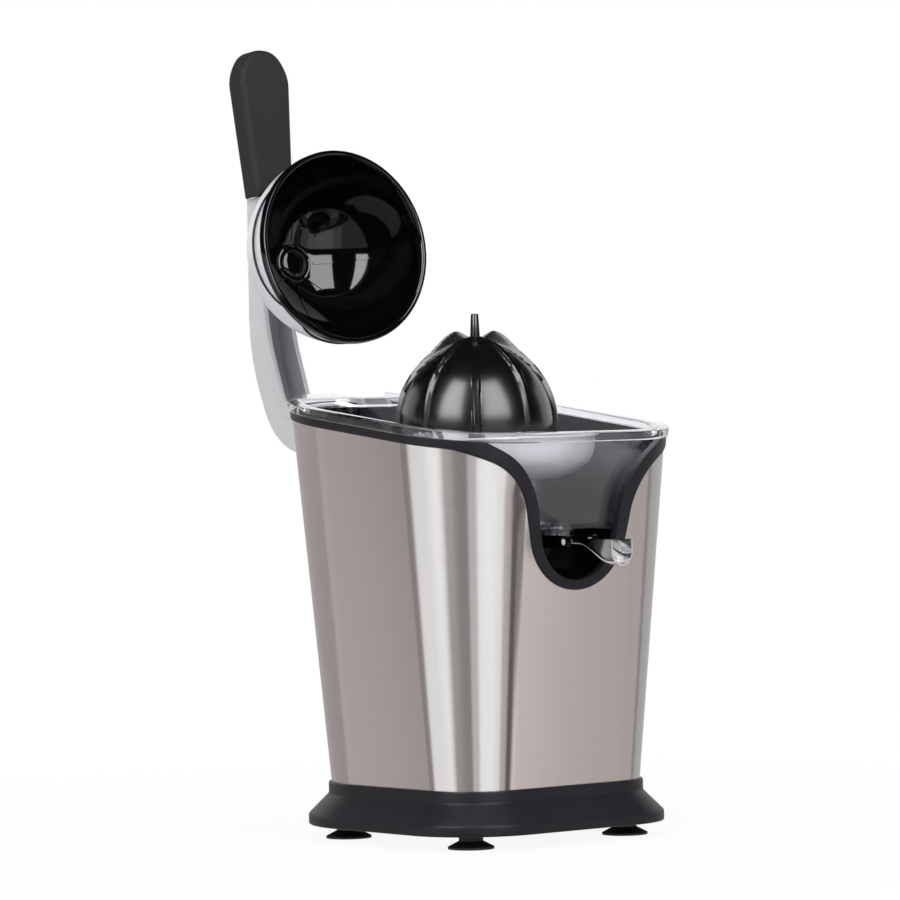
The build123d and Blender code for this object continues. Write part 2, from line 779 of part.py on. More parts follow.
# Plunger under the shaft: it slides in the plate's boss and its tongue works the switch
plunger_top = shaft_foot - part_gap
plunger_foot = plunger_boss_foot - plunger_below
flange_low = plunger_top - plunger_flange_thick
with BuildPart() as press_plunger:
    disc(plunger_radius, plunger_foot, plunger_top)
    disc(plunger_flange, flange_low, plunger_top)
    with BuildSketch(Plane.XY.offset(plunger_foot)):
        Rectangle(tongue_width, -switch_back_y, align=(Align.CENTER, Align.MAX))
    extrude(amount=tongue_thick)

# Return spring between the plate and the plunger's flange
spring_radius = (plunger_radius + plunger_flange) / 2
spring_rise = flange_low - plate_top - spring_wire - 2 * part_gap
with BuildPart() as return_spring:
    with BuildLine():
        Helix(
            spring_rise / spring_turns,
            spring_rise,
            spring_radius,
            center=(0, 0, plate_top + spring_wire / 2 + part_gap),
        )
    start_point = (spring_radius, 0, plate_top + spring_wire / 2 + part_gap)
    with BuildSketch(Plane(origin=start_point, x_dir=(1, 0, 0), z_dir=(0, 1, 0))):
        Circle(spring_wire / 2)
    sweep(is_frenet=True)

# Switch under the tongue, on a sheet bracket that hangs from the plate
button_top = plunger_foot - press_travel - loose_gap
switch_top = button_top - switch_button / 2
with BuildPart() as microswitch:
    with BuildSketch(Plane.XY.offset(switch_top - switch_tall)):
        with Locations((0, switch_back_y)):
            Rectangle(switch_length, switch_thick, align=(Align.CENTER, Align.MIN))
    extrude(amount=switch_tall)
    disc(switch_button, switch_top, button_top, 0, switch_back_y + switch_thick / 2)

with BuildPart() as switch_bracket:
    with BuildSketch(Plane.XZ.offset(-switch_back_y)):
        with Locations((0, plate_foot)):
            Rectangle(
                switch_length, plate_foot - switch_top + switch_tall, align=(Align.CENTER, Align.MAX)
            )
    extrude(amount=bracket_sheet)
    with BuildSketch(Plane.XY.offset(plate_foot - bracket_sheet)):
        with Locations((0, switch_back_y)):
            Rectangle(switch_length, switch_thick, align=(Align.CENTER, Align.MAX))
    extrude(amount=bracket_sheet)

# Hinge of the arm: a bracket on the deck with two ears, its screws and its pin
fall = math.radians(arm_fall)
knuckle_low = (hinge_y - knuckle_radius * math.sin(fall), hinge_z - knuckle_radius * math.cos(fall))
knuckle_high = (hinge_y + knuckle_radius * math.sin(fall), hinge_z + knuckle_radius * math.cos(fall))
knuckle_nose = (hinge_y - knuckle_radius * math.cos(fall), hinge_z + knuckle_radius * math.sin(fall))
ear_back_y = hinge_y + knuckle_radius
stop_drop = loose_gap / math.cos(fall)
with BuildPart() as hinge_bracket:
    with BuildSketch(Plane.YZ):
        Polygon(
            (bracket_front_y, deck_top),
            (bracket_back_y, deck_top),
            (bracket_back_y, bracket_shelf_z),
            (bracket_step_y, bracket_step_z),
            (ear_back_y, bracket_step_z),
            (hinge_y + ear_radius, hinge_z),
            (hinge_y - ear_radius, hinge_z),
            (bracket_front_y, hinge_z - 2 * knuckle_radius),
            align=None,
        )
        with Locations((hinge_y, hinge_z)):
            Circle(ear_radius)
            Circle(hinge_pin + press_gap, mode=Mode.SUBTRACT)
    extrude(amount=bracket_half, both=True)
    with BuildSketch(Plane.YZ):
        Polygon(
            (bracket_front_y - 1, hinge_z - knuckle_radius - loose_gap),
            (knuckle_low[0], knuckle_low[1] - stop_drop),
            (ear_back_y + 1, knuckle_low[1] - stop_drop - math.tan(fall) * (ear_back_y + 1 - knuckle_low[0])),
            (ear_back_y + 1, block_top),
            (bracket_front_y - 1, block_top),
            align=None,
        )
        with Locations((hinge_y, hinge_z)):
            Circle(knuckle_radius + loose_gap)
    extrude(amount=arm_width / 2 + ear_gap, both=True, mode=Mode.SUBTRACT)
    for side in (-1, 1):
        x = side * bracket_half / 2
        y = (bracket_front_y + bracket_back_y) / 2
        disc(screw_radius + press_gap, deck_top, deck_top + screw_length + 1, x, y, Mode.SUBTRACT)

with BuildPart() as bracket_screws:
    for side in (-1, 1):
        x = side * bracket_half / 2
        y = (bracket_front_y + bracket_back_y) / 2
        disc(screw_head, deck_foot - screw_head_thick, deck_foot, x, y)
        disc(screw_radius, deck_foot, deck_top + screw_length, x, y)

with BuildPart() as hinge_rod:
    with BuildSketch(Plane.YZ):
        with Locations((hinge_y, hinge_z)):
            Circle(hinge_pin)
    extrude(amount=bracket_half, both=True)


def inset_corner(before, corner, after, inset):
    """The corner of a line drawn beside a bent line, to the right of its run."""
    in_x, in_y = corner[0] - before[0], corner[1] - before[1]
    out_x, out_y = after[0] - corner[0], after[1] - corner[1]
    turn_in = math.atan2(in_y, in_x)
    turn_out = math.atan2(out_y, out_x)
    middle = (turn_in + turn_out) / 2
    long = inset / math.cos((turn_out - turn_in) / 2)
    return (corner[0] + long * math.sin(middle), corner[1] - long * math.cos(middle))


# Lever arm: a curved channel, open to the front, with a knuckle, a tang and two cross ribs
tilt = math.radians(cup_tilt)
pin_line = (0, math.sin(tilt), math.cos(tilt))
pivot_plane = Plane(origin=cup_pivot, x_dir=(1, 0, 0), z_dir=pin_line)
lean = math.radians(grip_lean)
grip_plane = Plane(
    origin=(0, grip_centre_y, arm_top), x_dir=(1, 0, 0), z_dir=(0, -math.cos(lean), math.sin(lean))
)
arm_front_y = arm_back_y - arm_deep
back_line = [(arm_back_y, arm_top), (arm_back_y, arm_back_bend_z), arm_back_heel, knuckle_low]
web_bend = inset_corner(back_line[0], back_line[1], back_line[2], arm_web)
web_heel = inset_corner(back_line[1], back_line[2], back_line[3], arm_web)
web_end_z = web_heel[1] + (web_heel[0] - channel_start_y) * math.tan(fall)
with BuildPart() as lever_arm:
    with BuildSketch(Plane.YZ):
        with BuildLine():
            FilletPolyline(*back_line, radius=[arm_back_bend_radius, arm_back_heel_radius])
            ThreePointArc(knuckle_low, knuckle_nose, knuckle_high)
            FilletPolyline(
                knuckle_high,
                arm_front_heel,
                (arm_front_y, arm_front_bend_z),
                (arm_front_y, arm_top),
                radius=[arm_front_heel_radius, arm_front_bend_radius],
            )
            Line((arm_front_y, arm_top), (arm_back_y, arm_top))
        make_face()
    extrude(amount=arm_width / 2, both=True)
    with BuildSketch(Plane.YZ):
        with BuildLine():
            FilletPolyline(
                (arm_back_y - arm_web, channel_top),
                web_bend,
                web_heel,
                (channel_start_y, web_end_z),
                radius=[arm_back_bend_radius - arm_web, arm_back_heel_radius - arm_web],
            )
            Polyline(
                (channel_start_y, web_end_z),
                (channel_start_y, knuckle_high[1] + knuckle_radius),
                (arm_front_heel[0] - arm_web, knuckle_high[1] + knuckle_radius),
                (arm_front_y - 2 * arm_web, arm_front_bend_z + knuckle_radius),
                (arm_front_y - 2 * arm_web, channel_top),
                (arm_back_y - arm_web, channel_top),
            )
        make_face()
    extrude(amount=arm_width / 2 - arm_wall, both=True, mode=Mode.SUBTRACT)
    for side in (-1, 1):
        with BuildSketch(pivot_plane.offset(side * (cup_lug_half + loose_gap + cup_rib_thick / 2))):
            with Locations((0, (arm_back_y - arm_web / 2 - cup_pivot[1] - cup_lug_radius / 2) / 2)):
                Rectangle(arm_width - arm_wall, arm_back_y - arm_web / 2 - cup_pivot[1] + cup_lug_radius / 2)
            Circle(cup_pin_radius + press_gap, mode=Mode.SUBTRACT)
        extrude(amount=cup_rib_thick / 2, both=True)
    with BuildSketch(grip_plane):
        Polygon(
            (-arm_width / 2, -tang_thick),
            (arm_width / 2, -tang_thick),
            (arm_width / 2, 0),
            (0, grip_notch - part_gap),
            (-arm_width / 2, 0),
            align=None,
        )
    extrude(amount=grip_thick / 2 - part_gap, both=True)
    with BuildSketch(grip_plane):
        with Locations((0, -tang_thick)):
            Rectangle(tang_width, tang_length + tang_thick, align=(Align.CENTER, Align.MIN))
        with Locations((0, grip_screw_at)):
            Circle(screw_radius + press_gap, mode=Mode.SUBTRACT)
    extrude(amount=tang_thick / 2, both=True)
    with BuildSketch(Plane.YZ):
        with Locations((hinge_y, hinge_z)):
            Circle(hinge_pin + slide_gap)
    extrude(amount=arm_width, both=True, mode=Mode.SUBTRACT)

# Grip over the tang, with its screw from behind
with BuildPart() as handle_grip:
    with BuildSketch(grip_plane):
        with BuildLine():
            Polyline(
                (0, grip_notch),
                (grip_foot_width / 2, part_gap),
                (grip_wide / 2, grip_wide_at),
            )
            Spline(
                (grip_wide / 2, grip_wide_at),
                (grip_wide / 2 - grip_shoulder, grip_wide_at + grip_shoulder_up),
                (0, grip_length),
                tangents=[(grip_wide - grip_foot_width, 2 * grip_wide_at), (-1, 0)],
            )
            mirror(about=Plane.YZ)
        make_face()
    extrude(amount=grip_thick / 2, both=True)
    fillet(handle_grip.faces().sort_by(Axis(grip_plane.origin, grip_plane.z_dir))[0].edges(), grip_round)
    fillet(handle_grip.faces().sort_by(Axis(grip_plane.origin, grip_plane.z_dir))[-1].edges(), grip_round)
    with BuildSketch(grip_plane):
        Rectangle(tang_width + part_gap, 2 * (tang_length + part_gap))
    extrude(amount=(tang_thick + part_gap) / 2, both=True, mode=Mode.SUBTRACT)
    with BuildSketch(grip_plane):
        with Locations((0, grip_screw_at)):
            Circle(screw_radius + part_gap)
    extrude(amount=-grip_thick, mode=Mode.SUBTRACT)
    with BuildSketch(grip_plane.offset(-grip_thick / 2 + screw_head_thick)):
        with Locations((0, grip_screw_at)):
            Circle(screw_head + part_gap)
    extrude(amount=-grip_thick, mode=Mode.SUBTRACT)

with BuildPart() as grip_screw:
    with BuildSketch(grip_plane.offset(-grip_thick / 2 + screw_head_thick)):
        with Locations((0, grip_screw_at)):
            Circle(screw_head)
    extrude(amount=-screw_head_thick)
    with BuildSketch(grip_plane.offset(-grip_thick / 2 + screw_head_thick)):
        with Locations((0, grip_screw_at)):
            Circle(screw_radius)
    extrude(amount=grip_thick / 2 - screw_head_thick + tang_thick / 2)

# Fruit cup: black cup, bright hood over its back, and the four-legged spider that holds it
sway = math.radians(cup_sway)
mouth = Vector(math.cos(tilt) * math.sin(sway), -math.cos(tilt) * math.cos(sway), math.sin(tilt))
inward = mouth * -1
rim_centre = Vector(*cup_pivot) + mouth * cup_reach
across = Vector(*pin_line).cross(mouth).normalized()
cup_axis = Axis(rim_centre, inward)
cup_section = Plane(origin=rim_centre, x_dir=across, z_dir=across.cross(inward))
mouth_plane = Plane(origin=rim_centre, x_dir=across, z_dir=inward)


def dome_shell(radius, depth, wall, start):
    """Half section of a rounded shell, open at its start depth, inside the given outer size."""
    with BuildSketch(cup_section) as section:
        Ellipse(radius, depth)
        Ellipse(radius - wall, depth - wall, mode=Mode.SUBTRACT)
        Rectangle(2 * radius, 2 * depth, align=(Align.MAX, Align.CENTER), mode=Mode.SUBTRACT)
        with Locations((0, start)):
            Rectangle(2 * radius, 2 * depth, align=(Align.MIN, Align.MAX), mode=Mode.SUBTRACT)
    return section.sketch


cup_inner = cup_radius - cup_lip
cup_outer = cup_inner + cup_wall
hood_outer = cup_outer + hood_gap + hood_wall
spider_outer = hood_outer + hood_gap + spider_wall
depth_less = cup_depth - cup_inner
hub_back = cup_depth * math.sqrt(1 - (cup_hub_radius / cup_inner) ** 2) + cup_wall / 2
with BuildPart() as press_cup:
    revolve(dome_shell(cup_outer, cup_outer + depth_less, cup_wall, part_gap), axis=cup_axis)
    with BuildSketch(mouth_plane):
        Circle(cup_radius)
        Circle(cup_inner + cup_wall / 2, mode=Mode.SUBTRACT)
    extrude(amount=cup_lip_depth)
    with BuildSketch(mouth_plane.offset(hub_back)):
        Circle(cup_hub_radius)
    extrude(amount=-cup_hub_height)

with BuildPart() as cup_hood:
    revolve(dome_shell(hood_outer, hood_outer + depth_less, hood_wall, hood_start), axis=cup_axis)

with BuildPart() as cup_spider:
    revolve(dome_shell(spider_outer, spider_outer + depth_less, spider_wall, hood_start), axis=cup_axis)
    for turn in range(arch_count):
        angle = 2 * math.pi * turn / arch_count
        outward = across * math.cos(angle) + inward.cross(across) * math.sin(angle)
        with BuildSketch(Plane(origin=rim_centre, x_dir=inward, z_dir=outward)):
            Ellipse(arch_depth, arch_half)
        extrude(amount=2 * cup_radius, mode=Mode.SUBTRACT)
    with BuildSketch(mouth_plane.offset(spider_outer + depth_less - spider_wall)):
        Circle(stem_radius)
    extrude(amount=cup_reach - spider_outer - depth_less)
    with BuildSketch(pivot_plane):
        Circle(cup_lug_radius)
    extrude(amount=cup_lug_half, both=True)
    with BuildSketch(pivot_plane):
        Circle(cup_pin_radius + slide_gap)
    extrude(amount=2 * cup_lug_half, both=True, mode=Mode.SUBTRACT)

with BuildPart() as cup_pin:
    with BuildSketch(pivot_plane):
        Circle(cup_pin_radius)
    extrude(amount=cup_lug_half + loose_gap + cup_rib_thick, both=True)

# Cap over the pivot on the arm's back
with BuildPart() as pivot_cap:
    with BuildSketch(Plane.XZ.offset(-arm_back_y)):
        with Locations((0, cup_pivot[2])):
            Circle(cap_radius)
    extrude(amount=-cap_proud)
    fillet(pivot_cap.faces().sort_by(Axis.Y)[-1].edges(), cap_proud * 0.8)

# Gland for the cord in the back of the steel wall, square to the drafted face
wall_back_y = rear_reach + draft * (gland_z - steel_foot)
gland_plane = Plane(origin=(0, wall_back_y, gland_z), x_dir=(1, 0, 0), z_dir=(0, 1, -draft))
with BuildPart() as cord_gland:
    with BuildSketch(gland_plane.offset(part_gap)):
        Circle(gland_flange)
    extrude(amount=gland_proud)
    with BuildSketch(gland_plane.offset(-gland_inside)):
        Circle(gland_radius)
    extrude(amount=gland_inside + gland_proud)
    with BuildSketch(gland_plane.offset(-gland_inside)):
        Circle(gland_bore)
    extrude(amount=gland_inside + 2 * gland_proud, mode=Mode.SUBTRACT)

pieces = {
    "base_skirt": base_skirt,
    "bottom_cover": bottom_cover,
    "suction_feet": suction_feet,
    "bottom_screws": bottom_screws,
    "body_shell": body_shell,
    "top_bezel": top_bezel,
    "spout_well": spout_well,
    "drip_spout": drip_spout,
    "inner_deck": inner_deck,
    "shaft_bushes": shaft_bushes,
    "shaft_seal": shaft_seal,
    "juice_bowl": juice_bowl,
    "strainer": strainer,
    "reamer": reamer,
    "drive_shaft": drive_shaft,
    "output_gear": output_gear,
    "reduction_gear": reduction_gear,
    "gear_axle": gear_axle,
    "gear_plate": gear_plate,
    "plate_screws": plate_screws,
    "motor_can": motor_can,
    "motor_stator": motor_stator,
    "motor_rotor": motor_rotor,
    "motor_pinion": motor_pinion,
    "press_plunger": press_plunger,
    "return_spring": return_spring,
    "microswitch": microswitch,
    "switch_bracket": switch_bracket,
    "hinge_bracket": hinge_bracket,
    "bracket_screws": bracket_screws,
    "hinge_rod": hinge_rod,
    "lever_arm": lever_arm,
    "handle_grip": handle_grip,
    "grip_screw": grip_screw,
    "press_cup": press_cup,
    "cup_hood": cup_hood,
    "cup_spider": cup_spider,
    "cup_pin": cup_pin,
    "pivot_cap": pivot_cap,
    "cord_gland": cord_gland,
}
front_end = drip_spout.part.bounding_box().min.Y
back_end = handle_grip.part.bounding_box().max.Y
to_footprint = Location((0, -(front_end + back_end) / 2, 0))
for name, piece in pieces.items():
    piece.part.locate(to_footprint)
    piece.part.label = name
    export_step(piece.part, f"parts/{name}.step")
print("reamer axis at Y", -(front_end + back_end) / 2)
print("reduction gear at", reduction_x, reduction_y)
print("cup mouth", mouth, "rim centre", rim_centre)
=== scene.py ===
# %% [markdown]
# This lesson dresses a small electric citrus juicer for a studio picture. Its rigid pieces come from the
# CAD model as a fixed frame: they are never moved, and each new piece rides on the body that carries it.

# %% Load the frame
import json
import math
import bpy
from mathutils import Matrix, Vector


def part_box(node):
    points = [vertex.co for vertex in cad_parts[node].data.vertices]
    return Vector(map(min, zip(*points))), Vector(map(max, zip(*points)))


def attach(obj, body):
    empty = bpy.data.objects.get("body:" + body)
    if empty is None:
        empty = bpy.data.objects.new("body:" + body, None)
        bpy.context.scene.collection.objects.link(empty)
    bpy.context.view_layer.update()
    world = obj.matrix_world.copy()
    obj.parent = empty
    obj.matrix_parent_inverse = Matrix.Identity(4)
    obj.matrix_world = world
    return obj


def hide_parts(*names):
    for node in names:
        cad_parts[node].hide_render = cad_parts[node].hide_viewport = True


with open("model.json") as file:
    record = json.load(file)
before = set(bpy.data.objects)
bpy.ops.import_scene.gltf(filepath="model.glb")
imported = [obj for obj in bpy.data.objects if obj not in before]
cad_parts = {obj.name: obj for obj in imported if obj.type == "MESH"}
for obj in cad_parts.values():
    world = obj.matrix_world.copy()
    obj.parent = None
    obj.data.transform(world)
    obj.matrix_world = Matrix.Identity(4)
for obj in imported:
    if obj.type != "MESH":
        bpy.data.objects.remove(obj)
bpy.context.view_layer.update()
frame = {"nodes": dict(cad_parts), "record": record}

MM = 0.001
record = frame["record"]
slot_of = {part["node"]: part["material_slot"] for part in record["subparts"]}
body_of = {node: body for body, nodes in record["behaviour"]["bodies"].items() for node in nodes}

# %% [markdown]
# Colours are picked as sRGB hex values, but a shader works with linear light. One function turns one into the
# other. Two more keep the material cells short: one starts a material with the constants on the shader's own
# sockets, the other adds any node with its settings and its links.

# %% Colour and node helpers
def linear(code):
    channels = [int(code[i:i + 2], 16) / 255 for i in (1, 3, 5)]
    return tuple(c / 12.92 if c <= 0.04045 else ((c + 0.055) / 1.055) ** 2.4 for c in channels) + (1.0,)


def start_material(name, sockets):
    material = bpy.data.materials.new(name)
    material.use_nodes = True
    shader = material.node_tree.nodes["Principled BSDF"]
    for socket, value in sockets.items():
        shader.inputs[socket].default_value = value
    return material, shader


def add_node(material, kind, settings=None, links=None):
    node = material.node_tree.nodes.new(kind)
    for name, value in (settings or {}).items():
        if isinstance(name, int) or name in node.inputs:
            node.inputs[name].default_value = value
        else:
            setattr(node, name, value)
    for name, source in (links or {}).items():
        material.node_tree.links.new(source, node.inputs[name])
    return node


def feed(material, source, target):
    material.node_tree.links.new(source, target)


finishes = {}
print("white is", linear("#FFFFFF"))

# %% [markdown]
# The wall is stainless sheet, brushed along its length before it is bent. The brush leaves level scratches,
# so a reflection is drawn out upwards: the shader's tangent points up and the anisotropy is high. Real
# scratches are about 0.1 mm apart, too fine for the picture, so they are drawn 0.9 mm apart and 120 mm
# long. Inside, where the normal points to the middle, the sheet is left dull as it was rolled.

# %% Brushed stainless steel
steel, shader = start_material("brushed_stainless_steel", {"Anisotropic": 0.9})
place = add_node(steel, "ShaderNodeTexCoord")
stretch = add_node(steel, "ShaderNodeMapping", {"Scale": (1 / 0.12, 1 / 0.12, 1 / 0.0009)},
                   {"Vector": place.outputs["Object"]})
scratch = add_node(steel, "ShaderNodeTexNoise", {"Scale": 1.0, "Detail": 3.0, "Roughness": 0.6},
                   {"Vector": stretch.outputs["Vector"]})
tone = add_node(steel, "ShaderNodeMix", {"data_type": "RGBA", 6: linear("#C1BFBE"), 7: linear("#C8C6C5")},
                {0: scratch.outputs["Fac"]})
blur = add_node(steel, "ShaderNodeMapRange", {"To Min": 0.18, "To Max": 0.21},
                {"Value": scratch.outputs["Fac"]})
upright = add_node(steel, "ShaderNodeCombineXYZ", {"Z": 1.0})
groove = add_node(steel, "ShaderNodeBump", {"Strength": 0.05, "Distance": 0.00004},
                  {"Height": scratch.outputs["Fac"]})
outward = add_node(steel, "ShaderNodeVectorMath", {"operation": "DOT_PRODUCT"},
                   {0: place.outputs["Object"], 1: place.outputs["Normal"]})
shine = add_node(steel, "ShaderNodeMath", {"operation": "GREATER_THAN", 1: 0.0}, {0: outward.outputs["Value"]})
bare = add_node(steel, "ShaderNodeMapRange", {"To Min": 0.25, "To Max": 1.0},
                {"Value": shine.outputs["Value"]})
dull = add_node(steel, "ShaderNodeMix", {"data_type": "RGBA", 6: linear("#8A888C")},
                {0: shine.outputs["Value"], 7: tone.outputs[2]})
feed(steel, dull.outputs[2], shader.inputs["Base Color"])
feed(steel, bare.outputs["Result"], shader.inputs["Metallic"])
feed(steel, blur.outputs["Result"], shader.inputs["Roughness"])
feed(steel, upright.outputs["Vector"], shader.inputs["Tangent"])
feed(steel, groove.outputs["Normal"], shader.inputs["Normal"])
finishes["brushed_steel"] = steel
print("made", steel.name)

# %% [markdown]
# Spout and strainer are pressed from thinner stainless sheet, with a satin that has no direction. Fine grain of
# 0.6 mm breaks up the roughness and the shine. The strainer was tumbled for longer, so its copy is duller; that
# copy is also made paler and far less metallic so that it looks bright: painted sheen.

# %% Satin stainless steel
satin, shader = start_material("satin_stainless_steel", {"Metallic": 1.0})
place = add_node(satin, "ShaderNodeTexCoord")
grain = add_node(satin, "ShaderNodeTexNoise", {"Scale": 1 / 0.0006, "Detail": 2.0},
                 {"Vector": place.outputs["Object"]})
tone = add_node(satin, "ShaderNodeMix", {"data_type": "RGBA", 6: linear("#C9C8C9"), 7: linear("#E0DFE0")},
                {0: grain.outputs["Fac"]})
blur = add_node(satin, "ShaderNodeMapRange", {"To Min": 0.08, "To Max": 0.14}, {"Value": grain.outputs["Fac"]})
feed(satin, tone.outputs[2], shader.inputs["Base Color"])
feed(satin, blur.outputs["Result"], shader.inputs["Roughness"])
finishes["stainless"] = satin
# Painted sheen: this copy is paler and far less metallic than the satin, so that the strainer and the spout's
# beads look bright.
tumbled_and_sheen = satin.copy()
tumbled_and_sheen.name = "tumbled_steel_painted_sheen"
shader = tumbled_and_sheen.node_tree.nodes["Principled BSDF"]
shader.inputs["Metallic"].default_value = 0.2
tumbled_and_sheen.node_tree.nodes["Mix"].inputs[6].default_value = linear("#DDDCDC")
tumbled_and_sheen.node_tree.nodes["Mix"].inputs[7].default_value = linear("#ECEBEA")
tumbled_and_sheen.node_tree.nodes["Map Range"].inputs["To Min"].default_value = 0.30
tumbled_and_sheen.node_tree.nodes["Map Range"].inputs["To Max"].default_value = 0.42
print("made", satin.name, tumbled_and_sheen.name)

# %% [markdown]
# Base, bezel and bracket are ABS from a mould with a fine spark-eroded texture: dark grey, with a broad
# soft sheen. The texture's pits are about 0.3 mm, drawn here at 0.7 mm so that they still break the sheen.

# %% Textured black ABS
abs_black, shader = start_material("textured_black_abs", {"IOR": 1.53, "Specular IOR Level": 0.18})
place = add_node(abs_black, "ShaderNodeTexCoord")
pits = add_node(abs_black, "ShaderNodeTexNoise", {"Scale": 1 / 0.0007, "Detail": 2.0},
                {"Vector": place.outputs["Object"]})
cloud = add_node(abs_black, "ShaderNodeTexNoise", {"Scale": 1 / 0.03, "Detail": 2.0},
                 {"Vector": place.outputs["Object"]})
tone = add_node(abs_black, "ShaderNodeMix", {"data_type": "RGBA", 6: linear("#1A191D"), 7: linear("#201F25")},
                {0: cloud.outputs["Fac"]})
blur = add_node(abs_black, "ShaderNodeMapRange", {"To Min": 0.36, "To Max": 0.5},
                {"Value": pits.outputs["Fac"]})
skin = add_node(abs_black, "ShaderNodeBump", {"Strength": 0.2, "Distance": 0.00004},
                {"Height": pits.outputs["Fac"]})
feed(abs_black, tone.outputs[2], shader.inputs["Base Color"])
feed(abs_black, blur.outputs["Result"], shader.inputs["Roughness"])
feed(abs_black, skin.outputs["Normal"], shader.inputs["Normal"])
finishes["black_plastic"] = abs_black
print("made", abs_black.name)

# %% [markdown]
# The grip is over-moulded with a soft rubbery plastic. It is a little warmer and much duller than the ABS.

# %% Soft-touch grip
soft_touch, shader = start_material("soft_touch_elastomer", {"IOR": 1.5, "Specular IOR Level": 0.15})
place = add_node(soft_touch, "ShaderNodeTexCoord")
pores = add_node(soft_touch, "ShaderNodeTexNoise", {"Scale": 1 / 0.0008, "Detail": 2.0},
                 {"Vector": place.outputs["Object"]})
tone = add_node(soft_touch, "ShaderNodeMix", {"data_type": "RGBA", 6: linear("#2C292A"), 7: linear("#333031")},
                {0: pores.outputs["Fac"]})
blur = add_node(soft_touch, "ShaderNodeMapRange", {"To Min": 0.52, "To Max": 0.66},
                {"Value": pores.outputs["Fac"]})
skin = add_node(soft_touch, "ShaderNodeBump", {"Strength": 0.25, "Distance": 0.00005},
                {"Height": pores.outputs["Fac"]})
feed(soft_touch, tone.outputs[2], shader.inputs["Base Color"])
feed(soft_touch, blur.outputs["Result"], shader.inputs["Roughness"])
feed(soft_touch, skin.outputs["Normal"], shader.inputs["Normal"])
finishes["soft_black"] = soft_touch
print("made", soft_touch.name)

# %% [markdown]
# Fruit cup and spout well are black ABS from a polished mould, so they mirror the studio faintly. Handling
# leaves a slight unevenness, a few millimetres across, in how sharp the mirror is. The reamer is of the same
# plastic but worn by fruit and washing: its mirror is blurred into broad soft patches. The well lies in the
# spout's shade, so its own copy is given the weakest mirror: painted shade.

# %% Polished and worn black ABS
blacks = {}
for name, least, most, level in (("polished_black_abs", 0.04, 0.08, 0.5), ("worn_black_abs", 0.20, 0.26, 0.7),
                                 ("shaded_black_abs", 0.10, 0.16, 0.1)):
    gloss, shader = start_material(name, {"IOR": 1.5, "Specular IOR Level": level})
    place = add_node(gloss, "ShaderNodeTexCoord")
    smear = add_node(gloss, "ShaderNodeTexNoise", {"Scale": 1 / 0.012, "Detail": 3.0},
                     {"Vector": place.outputs["Object"]})
    tone = add_node(gloss, "ShaderNodeMix", {"data_type": "RGBA", 6: linear("#060607"), 7: linear("#0A0A0B")},
                    {0: smear.outputs["Fac"]})
    blur = add_node(gloss, "ShaderNodeMapRange", {"To Min": least, "To Max": most},
                    {"Value": smear.outputs["Fac"]})
    feed(gloss, tone.outputs[2], shader.inputs["Base Color"])
    feed(gloss, blur.outputs["Result"], shader.inputs["Roughness"])
    blacks[name] = gloss
finishes["black_gloss"] = blacks["polished_black_abs"]
print("made", list(blacks))

# %% [markdown]
# The arm is die-cast aluminium with a silver paint: mostly a pale grey body with fine flakes in a clear coat.
# The shells on the cup's back are plastic with the same paint, a trace bluer. Flakes are drawn 0.5 mm across.
# The inside of the arm's channel, 13 mm wide, is given a darker grey where it lies near the middle and faces
# the front: painted shade in the recess.

# %% Silver paint on metal and on plastic
for slot, name, dark, pale in (("silver_metal", "silver_painted_aluminium", "#D2D2D4", "#E0E0E2"),
                               ("silver_plastic", "silver_painted_abs", "#E2E2EB", "#EEEEF6")):
    silver, shader = start_material(name, {"Metallic": 0.2, "IOR": 1.5, "Coat Weight": 0.3,
                                           "Coat Roughness": 0.15})
    place = add_node(silver, "ShaderNodeTexCoord")
    flakes = add_node(silver, "ShaderNodeTexVoronoi", {"Scale": 1 / 0.0005},
                      {"Vector": place.outputs["Object"]})
    tone = add_node(silver, "ShaderNodeMix", {"data_type": "RGBA", 6: linear(dark), 7: linear(pale)},
                    {0: flakes.outputs["Color"]})
    blur = add_node(silver, "ShaderNodeMapRange", {"To Min": 0.34, "To Max": 0.46},
                    {"Value": flakes.outputs["Distance"]})
    feed(silver, tone.outputs[2], shader.inputs["Base Color"])
    feed(silver, blur.outputs["Result"], shader.inputs["Roughness"])
    finishes[slot] = silver
    print("made", silver.name)
arm_paint = finishes["silver_metal"]
nodes = arm_paint.node_tree.nodes
# Painted shade: where the arm's channel lies near the middle and faces the front, its inside is mixed to a
# darker grey.
where = add_node(arm_paint, "ShaderNodeSeparateXYZ", None, {0: nodes["Texture Coordinate"].outputs["Object"]})
aside = add_node(arm_paint, "ShaderNodeMath", {"operation": "ABSOLUTE"}, {0: where.outputs["X"]})
CHANNEL_HALF = 6.55
inner = add_node(arm_paint, "ShaderNodeMath", {"operation": "LESS_THAN", 1: CHANNEL_HALF * MM},
                 {0: aside.outputs["Value"]})
facing = add_node(arm_paint, "ShaderNodeSeparateXYZ", None, {0: nodes["Texture Coordinate"].outputs["Normal"]})
front = add_node(arm_paint, "ShaderNodeMath", {"operation": "LESS_THAN", 1: 0.1}, {0: facing.outputs["Y"]})
channel_shade_mask = add_node(arm_paint, "ShaderNodeMath", {"operation": "MULTIPLY"},
                {0: inner.outputs["Value"], 1: front.outputs["Value"]})
painted_shade = add_node(arm_paint, "ShaderNodeMix", {"data_type": "RGBA", 7: linear("#A6A6AC")},
                {0: channel_shade_mask.outputs["Value"], 6: nodes["Mix"].outputs[2]})
feed(arm_paint, painted_shade.outputs[2], nodes["Principled BSDF"].inputs["Base Color"])
print("channel as cast")

# %% [markdown]
# The bowl is injection-moulded clear plastic, SAN, with a trace of lavender grey. Its thin walls hardly
# bend what is seen through them, so the bending is kept low and a coat with SAN's real index gives the
# shine. Light for the pieces behind it passes straight through. Faint flow marks, 15 mm apart, keep it from
# looking like glass.

